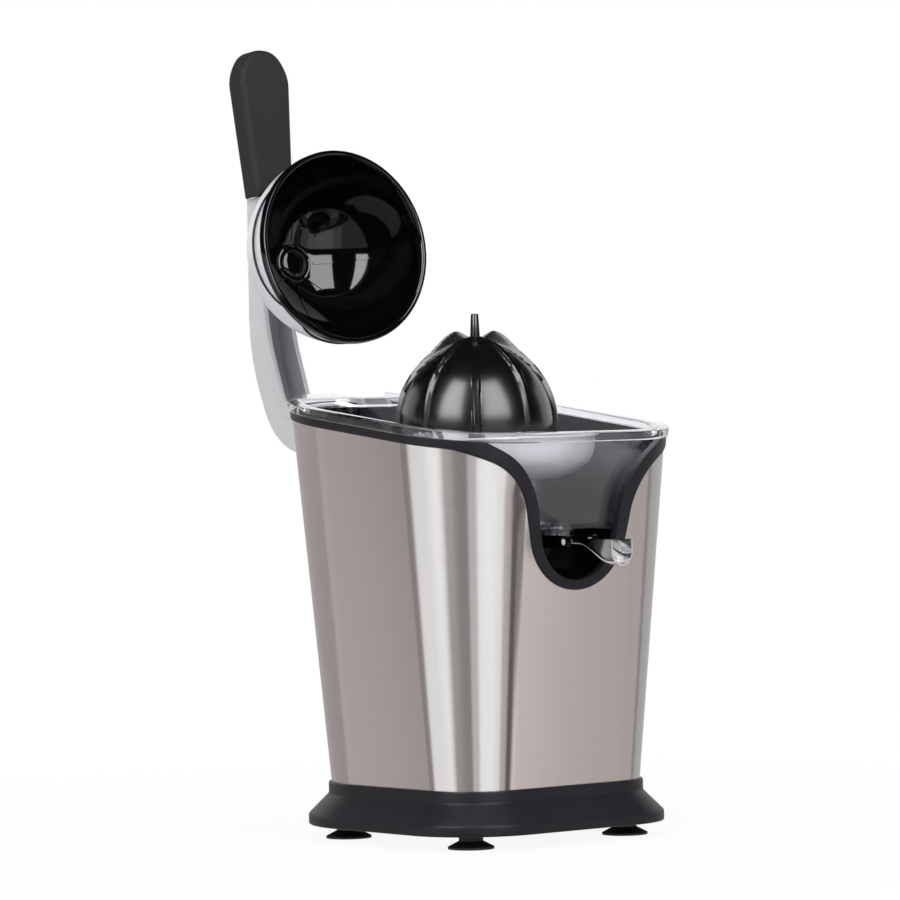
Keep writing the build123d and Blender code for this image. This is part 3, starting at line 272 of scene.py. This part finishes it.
# %% Clear SAN
LAVENDER = linear("#F1F0F6")
clear, shader = start_material("clear_san", {"IOR": 1.08, "Transmission Weight": 1.0, "Roughness": 0.03,
                                             "Base Color": LAVENDER, "Coat Weight": 1.0, "Coat IOR": 1.5})
place = add_node(clear, "ShaderNodeTexCoord")
flow = add_node(clear, "ShaderNodeTexNoise", {"Scale": 1 / 0.015, "Detail": 1.0},
                {"Vector": place.outputs["Object"]})
ripple = add_node(clear, "ShaderNodeBump", {"Strength": 0.05, "Distance": 0.0002},
                  {"Height": flow.outputs["Fac"]})
feed(clear, ripple.outputs["Normal"], shader.inputs["Normal"])
path = add_node(clear, "ShaderNodeLightPath")
through = add_node(clear, "ShaderNodeBsdfTransparent", {"Color": LAVENDER})
lit = add_node(clear, "ShaderNodeMixShader", None,
               {0: path.outputs["Is Shadow Ray"], 1: shader.outputs["BSDF"], 2: through.outputs["BSDF"]})
feed(clear, lit.outputs["Shader"], clear.node_tree.nodes["Material Output"].inputs["Surface"])
finishes["clear_plastic"] = clear
print("made", clear.name)

# %% [markdown]
# The rest is seen from below or not at all, but it gets its real material too: moulded rubber for feet and
# gland, zinc-plated steel, laminated iron, oiled bronze, enamelled copper wire and white acetal for the
# gears.

# %% Rubber, plain metals and acetal
plain = (("rubber", "moulded_rubber", "#161616", "#1F1F1F", 0.0, 0.62, 0.0010),
         ("steel", "zinc_plated_steel", "#A9ABAE", "#BFC1C4", 1.0, 0.32, 0.0008),
         ("rotor_steel", "laminated_iron", "#55555A", "#66666B", 1.0, 0.45, 0.0005),
         ("bronze", "oiled_bronze", "#9A7440", "#B48B52", 1.0, 0.35, 0.0010),
         ("windings", "enamelled_copper_wire", "#8A4A22", "#A65E2E", 0.6, 0.35, 0.0006),
         ("gear_plastic", "white_acetal", "#DAD7CC", "#E6E3DA", 0.0, 0.42, 0.0020))
for slot, name, dark, pale, metallic, rough, grain_size in plain:
    made, shader = start_material(name, {"Metallic": metallic})
    place = add_node(made, "ShaderNodeTexCoord")
    grain = add_node(made, "ShaderNodeTexNoise", {"Scale": 1 / grain_size, "Detail": 2.0},
                     {"Vector": place.outputs["Object"]})
    tone = add_node(made, "ShaderNodeMix", {"data_type": "RGBA", 6: linear(dark), 7: linear(pale)},
                    {0: grain.outputs["Fac"]})
    blur = add_node(made, "ShaderNodeMapRange", {"To Min": rough - 0.06, "To Max": rough + 0.06},
                    {"Value": grain.outputs["Fac"]})
    feed(made, tone.outputs[2], shader.inputs["Base Color"])
    feed(made, blur.outputs["Result"], shader.inputs["Roughness"])
    finishes[slot] = made
for node, piece in frame["nodes"].items():
    piece.data.materials.clear()
    piece.data.materials.append(finishes[slot_of[node]])
print("materials", len(finishes))

# %% [markdown]
# A moulded or cast edge is never quite sharp: it catches a thin line of light. The CAD pieces have sharp edges,
# so the ones in view are copied, their loose triangles are merged and joined into whole faces, and a bevel
# modifier rounds every edge that turns by more than a given angle. The copy then stands for its CAD node. The
# strainer is done in the same way, and gets the duller tumbled steel with its painted sheen.

# %% Softened copies of moulded and pressed pieces
def settle(piece, *nodes):
    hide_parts(*nodes)
    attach(piece, body_of[nodes[0]])
    if not piece.data.materials:
        piece.data.materials.append(finishes[slot_of[nodes[0]]])


def softened(node, width, steps=3, angle=40):
    bpy.ops.object.select_all(action="DESELECT")
    piece = bpy.data.objects.new(node + "_rounded", frame["nodes"][node].data.copy())
    bpy.context.collection.objects.link(piece)
    bpy.context.view_layer.objects.active = piece
    piece.select_set(True)
    bpy.ops.mesh.customdata_custom_splitnormals_clear()
    bpy.ops.object.mode_set(mode="EDIT")
    bpy.ops.mesh.select_all(action="SELECT")
    bpy.ops.mesh.remove_doubles(threshold=0.002 * MM)
    bpy.ops.mesh.dissolve_limited(angle_limit=math.radians(0.3))
    bpy.ops.object.mode_set(mode="OBJECT")
    bevel = piece.modifiers.new("rounded_edges", "BEVEL")
    bevel.width = width * MM
    bevel.segments = steps
    bevel.limit_method = "ANGLE"
    bevel.angle_limit = math.radians(angle)
    bevel.use_clamp_overlap = True
    bpy.ops.object.modifier_apply(modifier=bevel.name)
    bpy.ops.object.shade_smooth_by_angle(angle=math.radians(35))
    settle(piece, node)
    print(piece.name, "faces", len(piece.data.polygons))
    return piece


for node, width in (("base_skirt", 0.7), ("top_bezel", 0.9), ("juice_bowl", 0.5), ("lever_arm", 0.6),
                    ("hinge_bracket", 0.6), ("pivot_cap", 0.5), ("cord_gland", 0.5)):
    softened(node, width)
# Painted shade: the well gets the copy with the weakest mirror.
frame["nodes"]["spout_well"].data.materials[0] = blacks["shaded_black_abs"]
# The strainer gets the tumbled copy, whose paleness is painted sheen.
dish = softened("strainer", 0.25, 2, 50)
dish.data.materials[0] = tumbled_and_sheen
AXIS = Vector((0, (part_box("reamer")[0].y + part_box("reamer")[1].y) / 2, 0))
print("reamer axis at", round(AXIS.y, 4))

# %% [markdown]
# Through the clear bowl the hinge would be in view. A thin front wall on the bracket hides it.

# %% Front wall of the hinge bracket
bpy.ops.object.select_all(action="DESELECT")
BRACKET_WALL, BRACKET_WALL_SIZE = Vector((0, 68, 188.9)), Vector((30, 2, 19.2))
bpy.ops.mesh.primitive_cube_add(size=1, location=AXIS + BRACKET_WALL * MM)
shield = bpy.context.object
shield.scale = BRACKET_WALL_SIZE * MM
shield.data.materials.append(abs_black)
bpy.ops.object.transform_apply(location=True, rotation=True, scale=True)
bracket = bpy.data.objects["hinge_bracket_rounded"]
bracket.select_set(True)
bpy.context.view_layer.objects.active = bracket
bpy.ops.object.join()
print("bracket with wall", len(bracket.data.polygons))

# %% [markdown]
# The reamer is a dome with eight ribs: two tall ones with peaks beside the pin, four middle ones and two
# low ones. Lofting each rib by hand would be slow and leave seams. A UV sphere has a vertex for every
# direction, so each vertex is moved along its own direction until it lies on the dome, or on a rib where
# one is near.

# %% Curves of the dome and its ribs
REAMER_FOOT = 186.5
rib_foot = [(37.8, 0.0), (37.3, 8.5), (35.0, 18.0)]
panel_line = [(35.6, 0.0), (35.4, 7.5), (33.2, 17.0), (28.8, 25.5), (22.0, 33.0), (12.0, 39.5), (0.0, 42.5)]
low_line = rib_foot + [(30.0, 26.5), (22.0, 33.1), (12.0, 39.5), (0.0, 42.5)]
mid_line = rib_foot + [(29.5, 28.0), (20.0, 36.9), (8.0, 43.1), (0.0, 44.5)]
tall_line = rib_foot + [(29.5, 28.0), (20.0, 37.8), (9.3, 46.5), (3.0, 43.9), (0.0, 43.6)]
ribs = [(90, tall_line), (270, tall_line), (42, mid_line), (138, mid_line), (222, mid_line), (318, mid_line),
        (0, low_line), (180, low_line)]
RIB_TURN = -130.0


def reach(line, lift):
    """Distance from the foot's centre to a curve, in the direction that rises by lift radians."""
    marks = [(math.atan2(z, r), math.hypot(r, z)) for r, z in line]
    for i in range(len(marks) - 1):
        if lift <= marks[i + 1][0] or i == len(marks) - 2:
            before = marks[max(i - 1, 0)]
            after = marks[min(i + 2, len(marks) - 1)]
            a, b = marks[i], marks[i + 1]
            span = b[0] - a[0]
            t = min(max((lift - a[0]) / span, 0), 1)
            slope_a = (b[1] - before[1]) / (b[0] - before[0]) * span
            slope_b = (after[1] - a[1]) / (after[0] - a[0]) * span
            return ((2 * t**3 - 3 * t**2 + 1) * a[1] + (t**3 - 2 * t**2 + t) * slope_a
                    + (3 * t**2 - 2 * t**3) * b[1] + (t**3 - t**2) * slope_b)


print("dome height", round(reach(panel_line, math.pi / 2), 2), "mm")

# %% Reamer
RIB_TOP, RIB_SIDE = 1.1, 2.0
bpy.ops.object.select_all(action="DESELECT")
bpy.ops.mesh.primitive_uv_sphere_add(segments=480, ring_count=168, radius=40 * MM)
reamer = bpy.context.object
reamer.name = "reamer_ribbed"
bpy.ops.object.mode_set(mode="EDIT")
bpy.ops.mesh.select_all(action="SELECT")
bpy.ops.mesh.bisect(plane_co=(0, 0, 0), plane_no=(0, 0, 1), clear_inner=True)
bpy.ops.object.mode_set(mode="OBJECT")
for vertex in reamer.data.vertices:
    lift = math.atan2(vertex.co.z, math.hypot(vertex.co.x, vertex.co.y))
    around = math.degrees(math.atan2(vertex.co.y, vertex.co.x))
    base = reach(panel_line, lift)
    most = 0.0
    for turn, line in ribs:
        off = math.radians(around - RIB_TURN - turn)
        aside = base * math.cos(lift) * (abs(math.sin(off)) if math.cos(off) > 0 else 1)
        s = min(max((aside - RIB_TOP) / (RIB_SIDE - RIB_TOP), 0), 1)
        most = max(most, (reach(line, lift) - base) * (1 - 3 * s**2 + 2 * s**3))
    vertex.co = vertex.co.normalized() * (base + most) * MM
bpy.ops.object.mode_set(mode="EDIT")
bpy.ops.mesh.select_all(action="DESELECT")
bpy.ops.mesh.select_mode(type="EDGE")
bpy.ops.mesh.select_non_manifold()
bpy.ops.mesh.extrude_edges_move()
bpy.ops.transform.resize(value=(0.86, 0.86, 1), center_override=(0, 0, 0))
bpy.ops.mesh.extrude_edges_move(TRANSFORM_OT_translate={"value": (0, 0, 6 * MM)})
bpy.ops.mesh.fill()
bpy.ops.object.mode_set(mode="OBJECT")
bpy.ops.transform.translate(value=AXIS + Vector((0, 0, REAMER_FOOT * MM)))
bpy.ops.object.transform_apply(location=True)
bpy.ops.object.shade_smooth_by_angle(angle=math.radians(50))
print("reamer faces", len(reamer.data.polygons))

# %% [markdown]
# A slim pin stands on the dome and centres the fruit. It is a cone with a rounded top, joined to the
# reamer.

# %% Pin on the reamer's top
bpy.ops.object.select_all(action="DESELECT")
PIN_FOOT, PIN_TIP, PIN_LONG, PIN_MIDDLE = 2.5, 1.75, 14.5, 233.75
bpy.ops.mesh.primitive_cone_add(vertices=48, radius1=PIN_FOOT * MM, radius2=PIN_TIP * MM, depth=PIN_LONG * MM,
                                location=AXIS + Vector((0, 0, PIN_MIDDLE * MM)))
pin = bpy.context.object
bevel = pin.modifiers.new("rounded_top", "BEVEL")
bevel.width = 0.5 * MM
bevel.segments = 3
bevel.limit_method = "ANGLE"
bpy.ops.object.modifier_apply(modifier=bevel.name)
bpy.ops.object.transform_apply(location=True)
bpy.ops.object.shade_smooth_by_angle(angle=math.radians(40))
reamer.select_set(True)
bpy.context.view_layer.objects.active = reamer
bpy.ops.object.join()
reamer.data.materials.append(blacks["worn_black_abs"])
settle(reamer, "reamer")
print("reamer with pin", [round(side / MM, 1) for side in reamer.dimensions])

# %% [markdown]
# The fruit cup is a turned shape: a rounded bowl with a thick lip and a ringed hub at its bottom. It is
# drawn as half a section, one point after another, and spun about its axis. The cup hangs tilted on the
# arm, so it is made upright at the origin and then turned so that its axis follows the CAD cup.

# %% Drawing and spinning a section
def drawn(name, points):
    """A chain of edges through points of radius and height, made by extruding one vertex on and on."""
    bpy.ops.object.select_all(action="DESELECT")
    bpy.ops.mesh.primitive_plane_add(size=1 * MM)
    piece = bpy.context.object
    piece.name = name
    bpy.ops.object.mode_set(mode="EDIT")
    bpy.ops.mesh.select_mode(type="VERT")
    bpy.ops.mesh.select_all(action="SELECT")
    bpy.ops.mesh.merge(type="CENTER")
    bpy.ops.transform.translate(value=(points[0][0] * MM, 0, points[0][1] * MM))
    for start, end in zip(points, points[1:]):
        move = ((end[0] - start[0]) * MM, 0, (end[1] - start[1]) * MM)
        bpy.ops.mesh.extrude_region_move(TRANSFORM_OT_translate={"value": move})
    bpy.ops.mesh.select_all(action="SELECT")
    return piece


def spun(name, points, steps=128):
    piece = drawn(name, points)
    bpy.ops.mesh.spin(steps=steps, angle=math.tau, center=(0, 0, 0), axis=(0, 0, 1))
    bpy.ops.mesh.select_all(action="SELECT")
    bpy.ops.mesh.remove_doubles(threshold=0.005 * MM)
    bpy.ops.mesh.normals_make_consistent(inside=False)
    bpy.ops.object.mode_set(mode="OBJECT")
    return piece


CUP_IN, CUP_DEEP, CUP_OUT, CUP_BACK, CUP_LIP = 43.4, 47.0, 44.5, 48.1, 46.4
rises = [math.radians(4 + 2.0 * i) for i in range(37)]
inside = [(CUP_IN * math.cos(a), CUP_DEEP * math.sin(a)) for a in rises]
hub = [(9.4, 45.8), (9.1, 45.2), (8.6, 45.0), (8.1, 45.2), (7.8, 45.8), (7.2, 45.8), (6.9, 45.0), (6.4, 44.7),
       (5.0, 44.4), (3.4, 44.2), (1.7, 44.1), (0.0, 44.1)]
falls = [math.radians(4 * i) for i in range(1, 22)]
back = [(0.0, CUP_BACK)] + [(CUP_OUT * math.sin(a), CUP_BACK * math.cos(a)) for a in falls]
lip = [(CUP_OUT, 4.0), (45.9, 4.0), (CUP_LIP, 3.6), (CUP_LIP, 0.8), (46.0, 0.2), (45.2, 0.0), (44.4, 0.2),
       (43.9, 0.7), (43.6, 1.6)]
cup = spun("fruit_cup_polished", inside + hub + back + lip + inside[:1])
print("cup faces", len(cup.data.polygons))

# %% [markdown]
# Thin ribs inside the cup keep the fruit from turning with the reamer. One is drawn along the cup's curve,
# made a thin bar by two extrusions, and copied round the axis.

# %% Thin ribs on the cup's inside
CUP_RIBS, CUP_RIB_HIGH, CUP_RIB_WIDE = 8, 0.45, 1.0
rises = [math.radians(22 + 3.0 * i) for i in range(19)]
drawn("cup_rib", [(CUP_IN * math.cos(a), CUP_DEEP * math.sin(a) - CUP_RIB_HIGH) for a in rises])
bpy.ops.transform.translate(value=(0, -CUP_RIB_WIDE / 2 * MM, 0))
bpy.ops.mesh.extrude_region_move(TRANSFORM_OT_translate={"value": (0, CUP_RIB_WIDE * MM, 0)})
bpy.ops.mesh.select_all(action="SELECT")
bpy.ops.mesh.extrude_region_move(TRANSFORM_OT_translate={"value": (0.25 * MM, 0, 0.9 * MM)})
bpy.ops.mesh.select_all(action="SELECT")
bpy.ops.mesh.normals_make_consistent(inside=False)
for turn in range(CUP_RIBS - 1):
    bpy.ops.mesh.duplicate()
    bpy.ops.transform.rotate(value=math.tau / CUP_RIBS, orient_axis="Z", center_override=(0, 0, 0))
bpy.ops.object.mode_set(mode="OBJECT")
cup.select_set(True)
bpy.context.view_layer.objects.active = cup
bpy.ops.object.join()
print("cup with ribs", len(cup.data.polygons))

# %% Cup into its place
MOUTH = Vector((-0.081825, -0.984728, 0.153676))
RIM = AXIS + Vector((-5.155, 86.962, 274.882)) * MM
aside = Vector((0, 0, 1)).cross(-MOUTH).normalized()
upward = (-MOUTH).cross(aside)
cup.matrix_world = Matrix.Translation(RIM) @ Matrix((aside, upward, -MOUTH)).transposed().to_4x4()
bpy.ops.object.select_all(action="DESELECT")
cup.select_set(True)
bpy.context.view_layer.objects.active = cup
bpy.ops.object.transform_apply(location=True, rotation=True, scale=True)
bpy.ops.object.shade_smooth_by_angle(angle=math.radians(40))
settle(cup, "press_cup")
print("cup box", [round(side / MM, 1) for side in cup.dimensions])

# %% [markdown]
# The strainer's dish is pressed, so seen from outside it is round, without bends. A spun ring with a
# rounded outside is laid under the bends of the CAD dish. Its curve is a superellipse, rounder than a cone
# and flatter at the bottom than a ball.

# %% Rounded outside of the strainer
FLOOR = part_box("strainer")[0].z / MM
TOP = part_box("strainer")[1].z / MM - 0.8
DISH_WIDE, DISH_DEEP, DISH_POWER = 54.2, 21.0, 3.0
marks = [35.5 + 2.0 * i for i in range(8)] + [50.7, 51.7, 52.5, 53.1, 53.6, 54.0, 54.2]
outside = [(r, TOP - DISH_DEEP * (1 - (r / DISH_WIDE) ** DISH_POWER) ** (1 / DISH_POWER)) for r in marks]
under = [(53.8, TOP), (50.6, FLOOR + 6.4), (40.0, FLOOR + 0.4), (35.5, FLOOR + 0.4)]
ring = spun("dish_round", outside + under + outside[:1], 160)
bpy.ops.transform.translate(value=AXIS)
bpy.ops.object.transform_apply(location=True)
ring.data.materials.append(tumbled_and_sheen)
dish.select_set(True)
bpy.context.view_layer.objects.active = dish
bpy.ops.object.join()
bpy.ops.object.shade_smooth_by_angle(angle=math.radians(35))
print("strainer faces", len(dish.data.polygons))

# %% [markdown]
# The spout is pressed sheet with a round bottom. Its U section is drawn at the tip and extruded backwards in
# short runs. At each run's end it is scaled in height, so the trough gets shallower in a soft S, then it is
# thickened. A thin bead on each flank follows the same S; in the paler tumbled steel it draws a bright line
# where the bottom's round catches light: a painted highlight.

# %% Drip spout
SPOUT_TOP, SPOUT_ROUND, SPOUT_LOW = 138.1, 6.0, 132.6
SPOUT_TIP, BEND_FROM, BEND_TO, SPOUT_END, SHALLOW = -99.0, -95.5, -75.0, -52.0, 0.17
bends = [i / 10 for i in range(11)]
stations = [(SPOUT_TIP, 1.0)]
stations += [(BEND_FROM + (BEND_TO - BEND_FROM) * t, 1 - (1 - SHALLOW) * (3 * t**2 - 2 * t**3)) for t in bends]
stations += [(SPOUT_END, SHALLOW)]
turns = [math.radians(7.5 * i) for i in range(25)]
section = [(-SPOUT_ROUND, SPOUT_TOP)]
section += [(-SPOUT_ROUND * math.cos(a), SPOUT_LOW - SPOUT_ROUND * math.sin(a)) for a in turns]
spout = drawn("drip_spout_rounded", section + [(SPOUT_ROUND, SPOUT_TOP)])
bpy.ops.transform.translate(value=AXIS + Vector((0, SPOUT_TIP * MM, 0)))
for (y_before, before), (y_after, after) in zip(stations, stations[1:]):
    bpy.ops.mesh.extrude_region_move(TRANSFORM_OT_translate={"value": (0, (y_after - y_before) * MM, 0)})
    bpy.ops.transform.resize(value=(1, 1, after / before), center_override=(0, 0, SPOUT_TOP * MM))
bpy.ops.mesh.select_all(action="SELECT")
bpy.ops.mesh.normals_make_consistent(inside=False)
bpy.ops.object.mode_set(mode="OBJECT")
sheet = spout.modifiers.new("sheet", "SOLIDIFY")
sheet.thickness = 0.5 * MM
sheet.offset = 0
bpy.ops.object.modifier_apply(modifier=sheet.name)
spout.data.materials.append(satin)
# Each bead is a painted highlight along the bottom's round, in the paler steel.
for side in (-1, 1):
    line = bpy.data.curves.new("highlight_bead", "CURVE")
    line.dimensions = "3D"
    line.bevel_depth = 0.45 * MM
    line.use_fill_caps = True
    track = line.splines.new("POLY")
    track.points.add(len(stations) - 1)
    for point, (y, depth) in zip(track.points, stations):
        height = SPOUT_TOP - (SPOUT_TOP - SPOUT_LOW + 0.78 * SPOUT_ROUND) * depth
        point.co = (side * 0.68 * SPOUT_ROUND * MM, AXIS.y + y * MM, height * MM, 1)
    bpy.ops.object.select_all(action="DESELECT")
    highlight_bead = bpy.data.objects.new("highlight_bead", line)
    bpy.context.collection.objects.link(highlight_bead)
    bpy.context.view_layer.objects.active = highlight_bead
    highlight_bead.select_set(True)
    bpy.ops.object.convert(target="MESH")
    highlight_bead.data.materials.append(tumbled_and_sheen)
    spout.select_set(True)
    bpy.context.view_layer.objects.active = spout
    bpy.ops.object.join()
    bpy.ops.mesh.primitive_cylinder_add(radius=1.5 * MM, depth=3.2 * MM, rotation=(0, math.pi / 2, 0),
                                        location=AXIS + Vector((side * 7.6, -70, 136.9)) * MM)
    bpy.ops.object.transform_apply(location=True, rotation=True)
    spout.select_set(True)
    bpy.context.view_layer.objects.active = spout
    bpy.ops.object.join()
bpy.ops.object.shade_smooth_by_angle(angle=math.radians(35))
settle(spout, "drip_spout")
print("spout", [round(side / MM, 1) for side in spout.dimensions])

# %% [markdown]
# Where the four-legged holder meets the hood there is a fine gap that lies in shade. The holder's sharp edges
# are copied as a curve with a thin round section in black ABS, which draws the shade in that gap as a dark
# line: painted shade.

# %% Painted shade in the gap between holder and hood
bpy.ops.object.select_all(action="DESELECT")
gap_shade = bpy.data.objects.new("holder_gap_shade", frame["nodes"]["cup_spider"].data.copy())
bpy.context.collection.objects.link(gap_shade)
bpy.context.view_layer.objects.active = gap_shade
gap_shade.select_set(True)
bpy.ops.object.mode_set(mode="EDIT")
bpy.ops.mesh.select_all(action="SELECT")
bpy.ops.mesh.remove_doubles(threshold=0.002 * MM)
bpy.ops.mesh.select_mode(type="EDGE")
bpy.ops.mesh.select_all(action="DESELECT")
bpy.ops.mesh.edges_select_sharp(sharpness=math.radians(50))
bpy.ops.mesh.select_all(action="INVERT")
bpy.ops.mesh.delete(type="EDGE_FACE")
bpy.ops.mesh.select_all(action="SELECT")
bpy.ops.mesh.delete_loose(use_verts=True, use_edges=False, use_faces=False)
bpy.ops.object.mode_set(mode="OBJECT")
bpy.ops.object.convert(target="CURVE")
gap_shade = bpy.context.object
gap_shade.data.bevel_depth = 0.3 * MM
gap_shade.data.bevel_resolution = 2
bpy.ops.object.convert(target="MESH")
gap_shade = bpy.context.object
gap_shade.data.materials.clear()
gap_shade.data.materials.append(abs_black)
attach(gap_shade, "cup")
print("gap faces", len(gap_shade.data.polygons))

# %% [markdown]
# The studio is a white room. The camera stands in front on the left, level with the bowl and far away, with
# a long lens: place, turn and lens follow from lines and corners of the juicer whose sizes are known.

# %% Camera
camera_data = bpy.data.cameras.new("long_lens")
LENS, CAMERA_SPOT = 205.69, Vector((-1.53397, -1.81095, 0.21180))
CAMERA_TURN, CAMERA_DIP, CAMERA_ROLL = -39.965, 0.807, -1.034
camera_data.lens = LENS
camera_data.sensor_width = 36
camera_data.sensor_fit = "HORIZONTAL"
camera = bpy.data.objects.new("long_lens", camera_data)
bpy.context.collection.objects.link(camera)
camera.matrix_world = (Matrix.Translation(AXIS + CAMERA_SPOT)
                       @ Matrix.Rotation(math.radians(CAMERA_TURN), 4, "Z")
                       @ Matrix.Rotation(math.radians(90 - CAMERA_DIP), 4, "X")
                       @ Matrix.Rotation(math.radians(CAMERA_ROLL), 4, "Z"))
bpy.context.scene.camera = camera
bpy.context.scene.view_settings.view_transform = "Standard"
print("camera", [round(c, 3) for c in camera.location])

# %% [markdown]
# The world is white wherever the camera, a mirror or clear plastic looks at it, and a softer grey as a
# light, so that the white room doesn't wash the juicer out. The floor is white too, and lets a faint shadow
# show near the feet.

# %% World and floor
world = bpy.data.worlds.new("white_room")
bpy.context.scene.world = world
world.use_nodes = True
back_node = world.node_tree.nodes["Background"]
path = add_node(world, "ShaderNodeLightPath")
seen = add_node(world, "ShaderNodeMath", {"operation": "MAXIMUM"},
                {0: path.outputs["Is Camera Ray"], 1: path.outputs["Is Glossy Ray"]})
seen = add_node(world, "ShaderNodeMath", {"operation": "MAXIMUM"},
                {0: seen.outputs["Value"], 1: path.outputs["Is Transmission Ray"]})
level = add_node(world, "ShaderNodeMapRange", {"To Min": 0.55, "To Max": 1.0}, {"Value": seen.outputs["Value"]})
feed(world, level.outputs["Result"], back_node.inputs["Strength"])
back_node.inputs["Color"].default_value = linear("#FFFFFF")
floor_paint, shader = start_material("white_studio_floor", {"Base Color": linear("#F4F4F4"), "Roughness": 0.8})
place = add_node(floor_paint, "ShaderNodeTexCoord")
away = add_node(floor_paint, "ShaderNodeVectorMath", {"operation": "LENGTH"}, {0: place.outputs["Object"]})
keep = add_node(floor_paint, "ShaderNodeMapRange",
                {"From Min": 0.1, "From Max": 0.5, "To Min": 0.08, "To Max": 0.0},
                {"Value": away.outputs["Value"]})
white = add_node(floor_paint, "ShaderNodeEmission", {"Color": linear("#FFFFFF"), "Strength": 1.0})
mixed = add_node(floor_paint, "ShaderNodeMixShader", None,
                 {0: keep.outputs["Result"], 1: white.outputs["Emission"], 2: shader.outputs["BSDF"]})
path = add_node(floor_paint, "ShaderNodeLightPath")
whole = add_node(floor_paint, "ShaderNodeMixShader", None,
                 {0: path.outputs["Is Camera Ray"], 1: shader.outputs["BSDF"], 2: mixed.outputs["Shader"]})
feed(floor_paint, whole.outputs["Shader"], floor_paint.node_tree.nodes["Material Output"].inputs["Surface"])
bpy.ops.object.select_all(action="DESELECT")
bpy.ops.mesh.primitive_plane_add(size=12)
floor = bpy.context.object
floor.name = "studio_floor"
floor.data.materials.append(floor_paint)
floor.visible_glossy = False
print("floor", [round(side, 1) for side in floor.dimensions])

# %% [markdown]
# Shiny pieces only look like metal or polished plastic if there is something to mirror. A photographer
# hangs bright and dark cards round the object. Here they are patches of a large sphere, each drawn as an
# arc and spun about the upright axis. Only mirrors see them, so they add no light to the juicer.

# %% Cards for the mirrors
def card(name, turn_from, turn_to, low, high, strength, far, tint="#FFFFFF"):
    """Turns are degrees from the juicer's left side towards its front, heights are degrees over level."""
    rows = 12
    arc = [math.radians(low + (high - low) * i / rows) for i in range(rows + 1)]
    piece = drawn(name, [(far / MM * math.cos(a), far / MM * math.sin(a)) for a in arc])
    bpy.ops.transform.rotate(value=-math.radians(180 + turn_from), orient_axis="Z", center_override=(0, 0, 0))
    bpy.ops.mesh.select_all(action="SELECT")
    bpy.ops.mesh.spin(steps=24, angle=math.radians(turn_to - turn_from), center=(0, 0, 0), axis=(0, 0, -1))
    bpy.ops.object.mode_set(mode="OBJECT")
    piece.location = (0, -0.03, 0.2)
    lamp = bpy.data.materials.new(name)
    lamp.use_nodes = True
    lamp.node_tree.nodes.remove(lamp.node_tree.nodes["Principled BSDF"])
    glow = add_node(lamp, "ShaderNodeEmission", {"Color": linear(tint), "Strength": strength})
    feed(lamp, glow.outputs["Emission"], lamp.node_tree.nodes["Material Output"].inputs["Surface"])
    lamp.cycles.emission_sampling = "NONE"
    piece.data.materials.append(lamp)
    piece.visible_camera = False
    piece.visible_diffuse = False
    piece.visible_transmission = False
    piece.visible_volume_scatter = False
    piece.visible_shadow = False
    return piece


WHITE, WARM = "#FFFFFF", "#FFF4F2"
walls = ((-140, -60, 0.5, WARM), (-60, -48.5, 0.72, WARM), (-48.5, -36, 0.40, WARM),
         (-33, 9, 1.32, WHITE), (14, 46, 0.42, WARM), (46, 58, 0.85, WHITE), (58, 84, 1.36, WHITE),
         (84, 95, 1.22, WHITE), (95, 106, 0.72, WARM), (107, 119, 0.17, WARM), (119.5, 129.5, 1.14, WARM),
         (129.5, 161, 0.69, WARM), (161, 170, 0.4, WARM), (170, 215, 0.58, WHITE))
WALL_LOW, WALL_HIGH = -36, 1
NEAR, FAR = 1.5, 1.7
for number, (turn_from, turn_to, strength, tint) in enumerate(walls):
    card("wall_card_" + str(number), turn_from, turn_to, WALL_LOW, WALL_HIGH, strength, NEAR, tint)
card("dark_floor_card", -60, 165, -89, WALL_LOW, 0.1, FAR)
card("dark_ceiling", -60, 165, WALL_HIGH, 89, 0.02, FAR)
card("dark_rear_ceiling", 165, 300, 24, 89, 0.02, FAR)
card("soft_box_left", -8, 27, 10, 58, 8.0, NEAR)
card("soft_box_front", 60, 102, 10, 58, 7.0, NEAR)
print("cards hung")

# %% [markdown]
# Three large lamps give the plain light: one from the left, one from the front and one from behind. The
# mirrors don't see them, because the cards already give the reflections.

# %% Lamps
LAMP_AIM = Vector((0, 0, 0.15))
lamps = (("key_lamp", (-1.6, -0.9, 1.5), 1.2, 16), ("front_lamp", (0.7, -1.9, 1.2), 1.2, 15),
         ("rear_lamp", (0.6, 1.6, 1.6), 1.4, 10))
for name, spot, size, watts in lamps:
    lamp_data = bpy.data.lights.new(name, "AREA")
    lamp_data.size = size
    lamp_data.energy = watts
    lamp = bpy.data.objects.new(name, lamp_data)
    bpy.context.collection.objects.link(lamp)
    lamp.location = spot
    lamp.rotation_euler = (LAMP_AIM - Vector(spot)).to_track_quat("-Z", "Y").to_euler()
    lamp.visible_glossy = False
print("lamps lit")
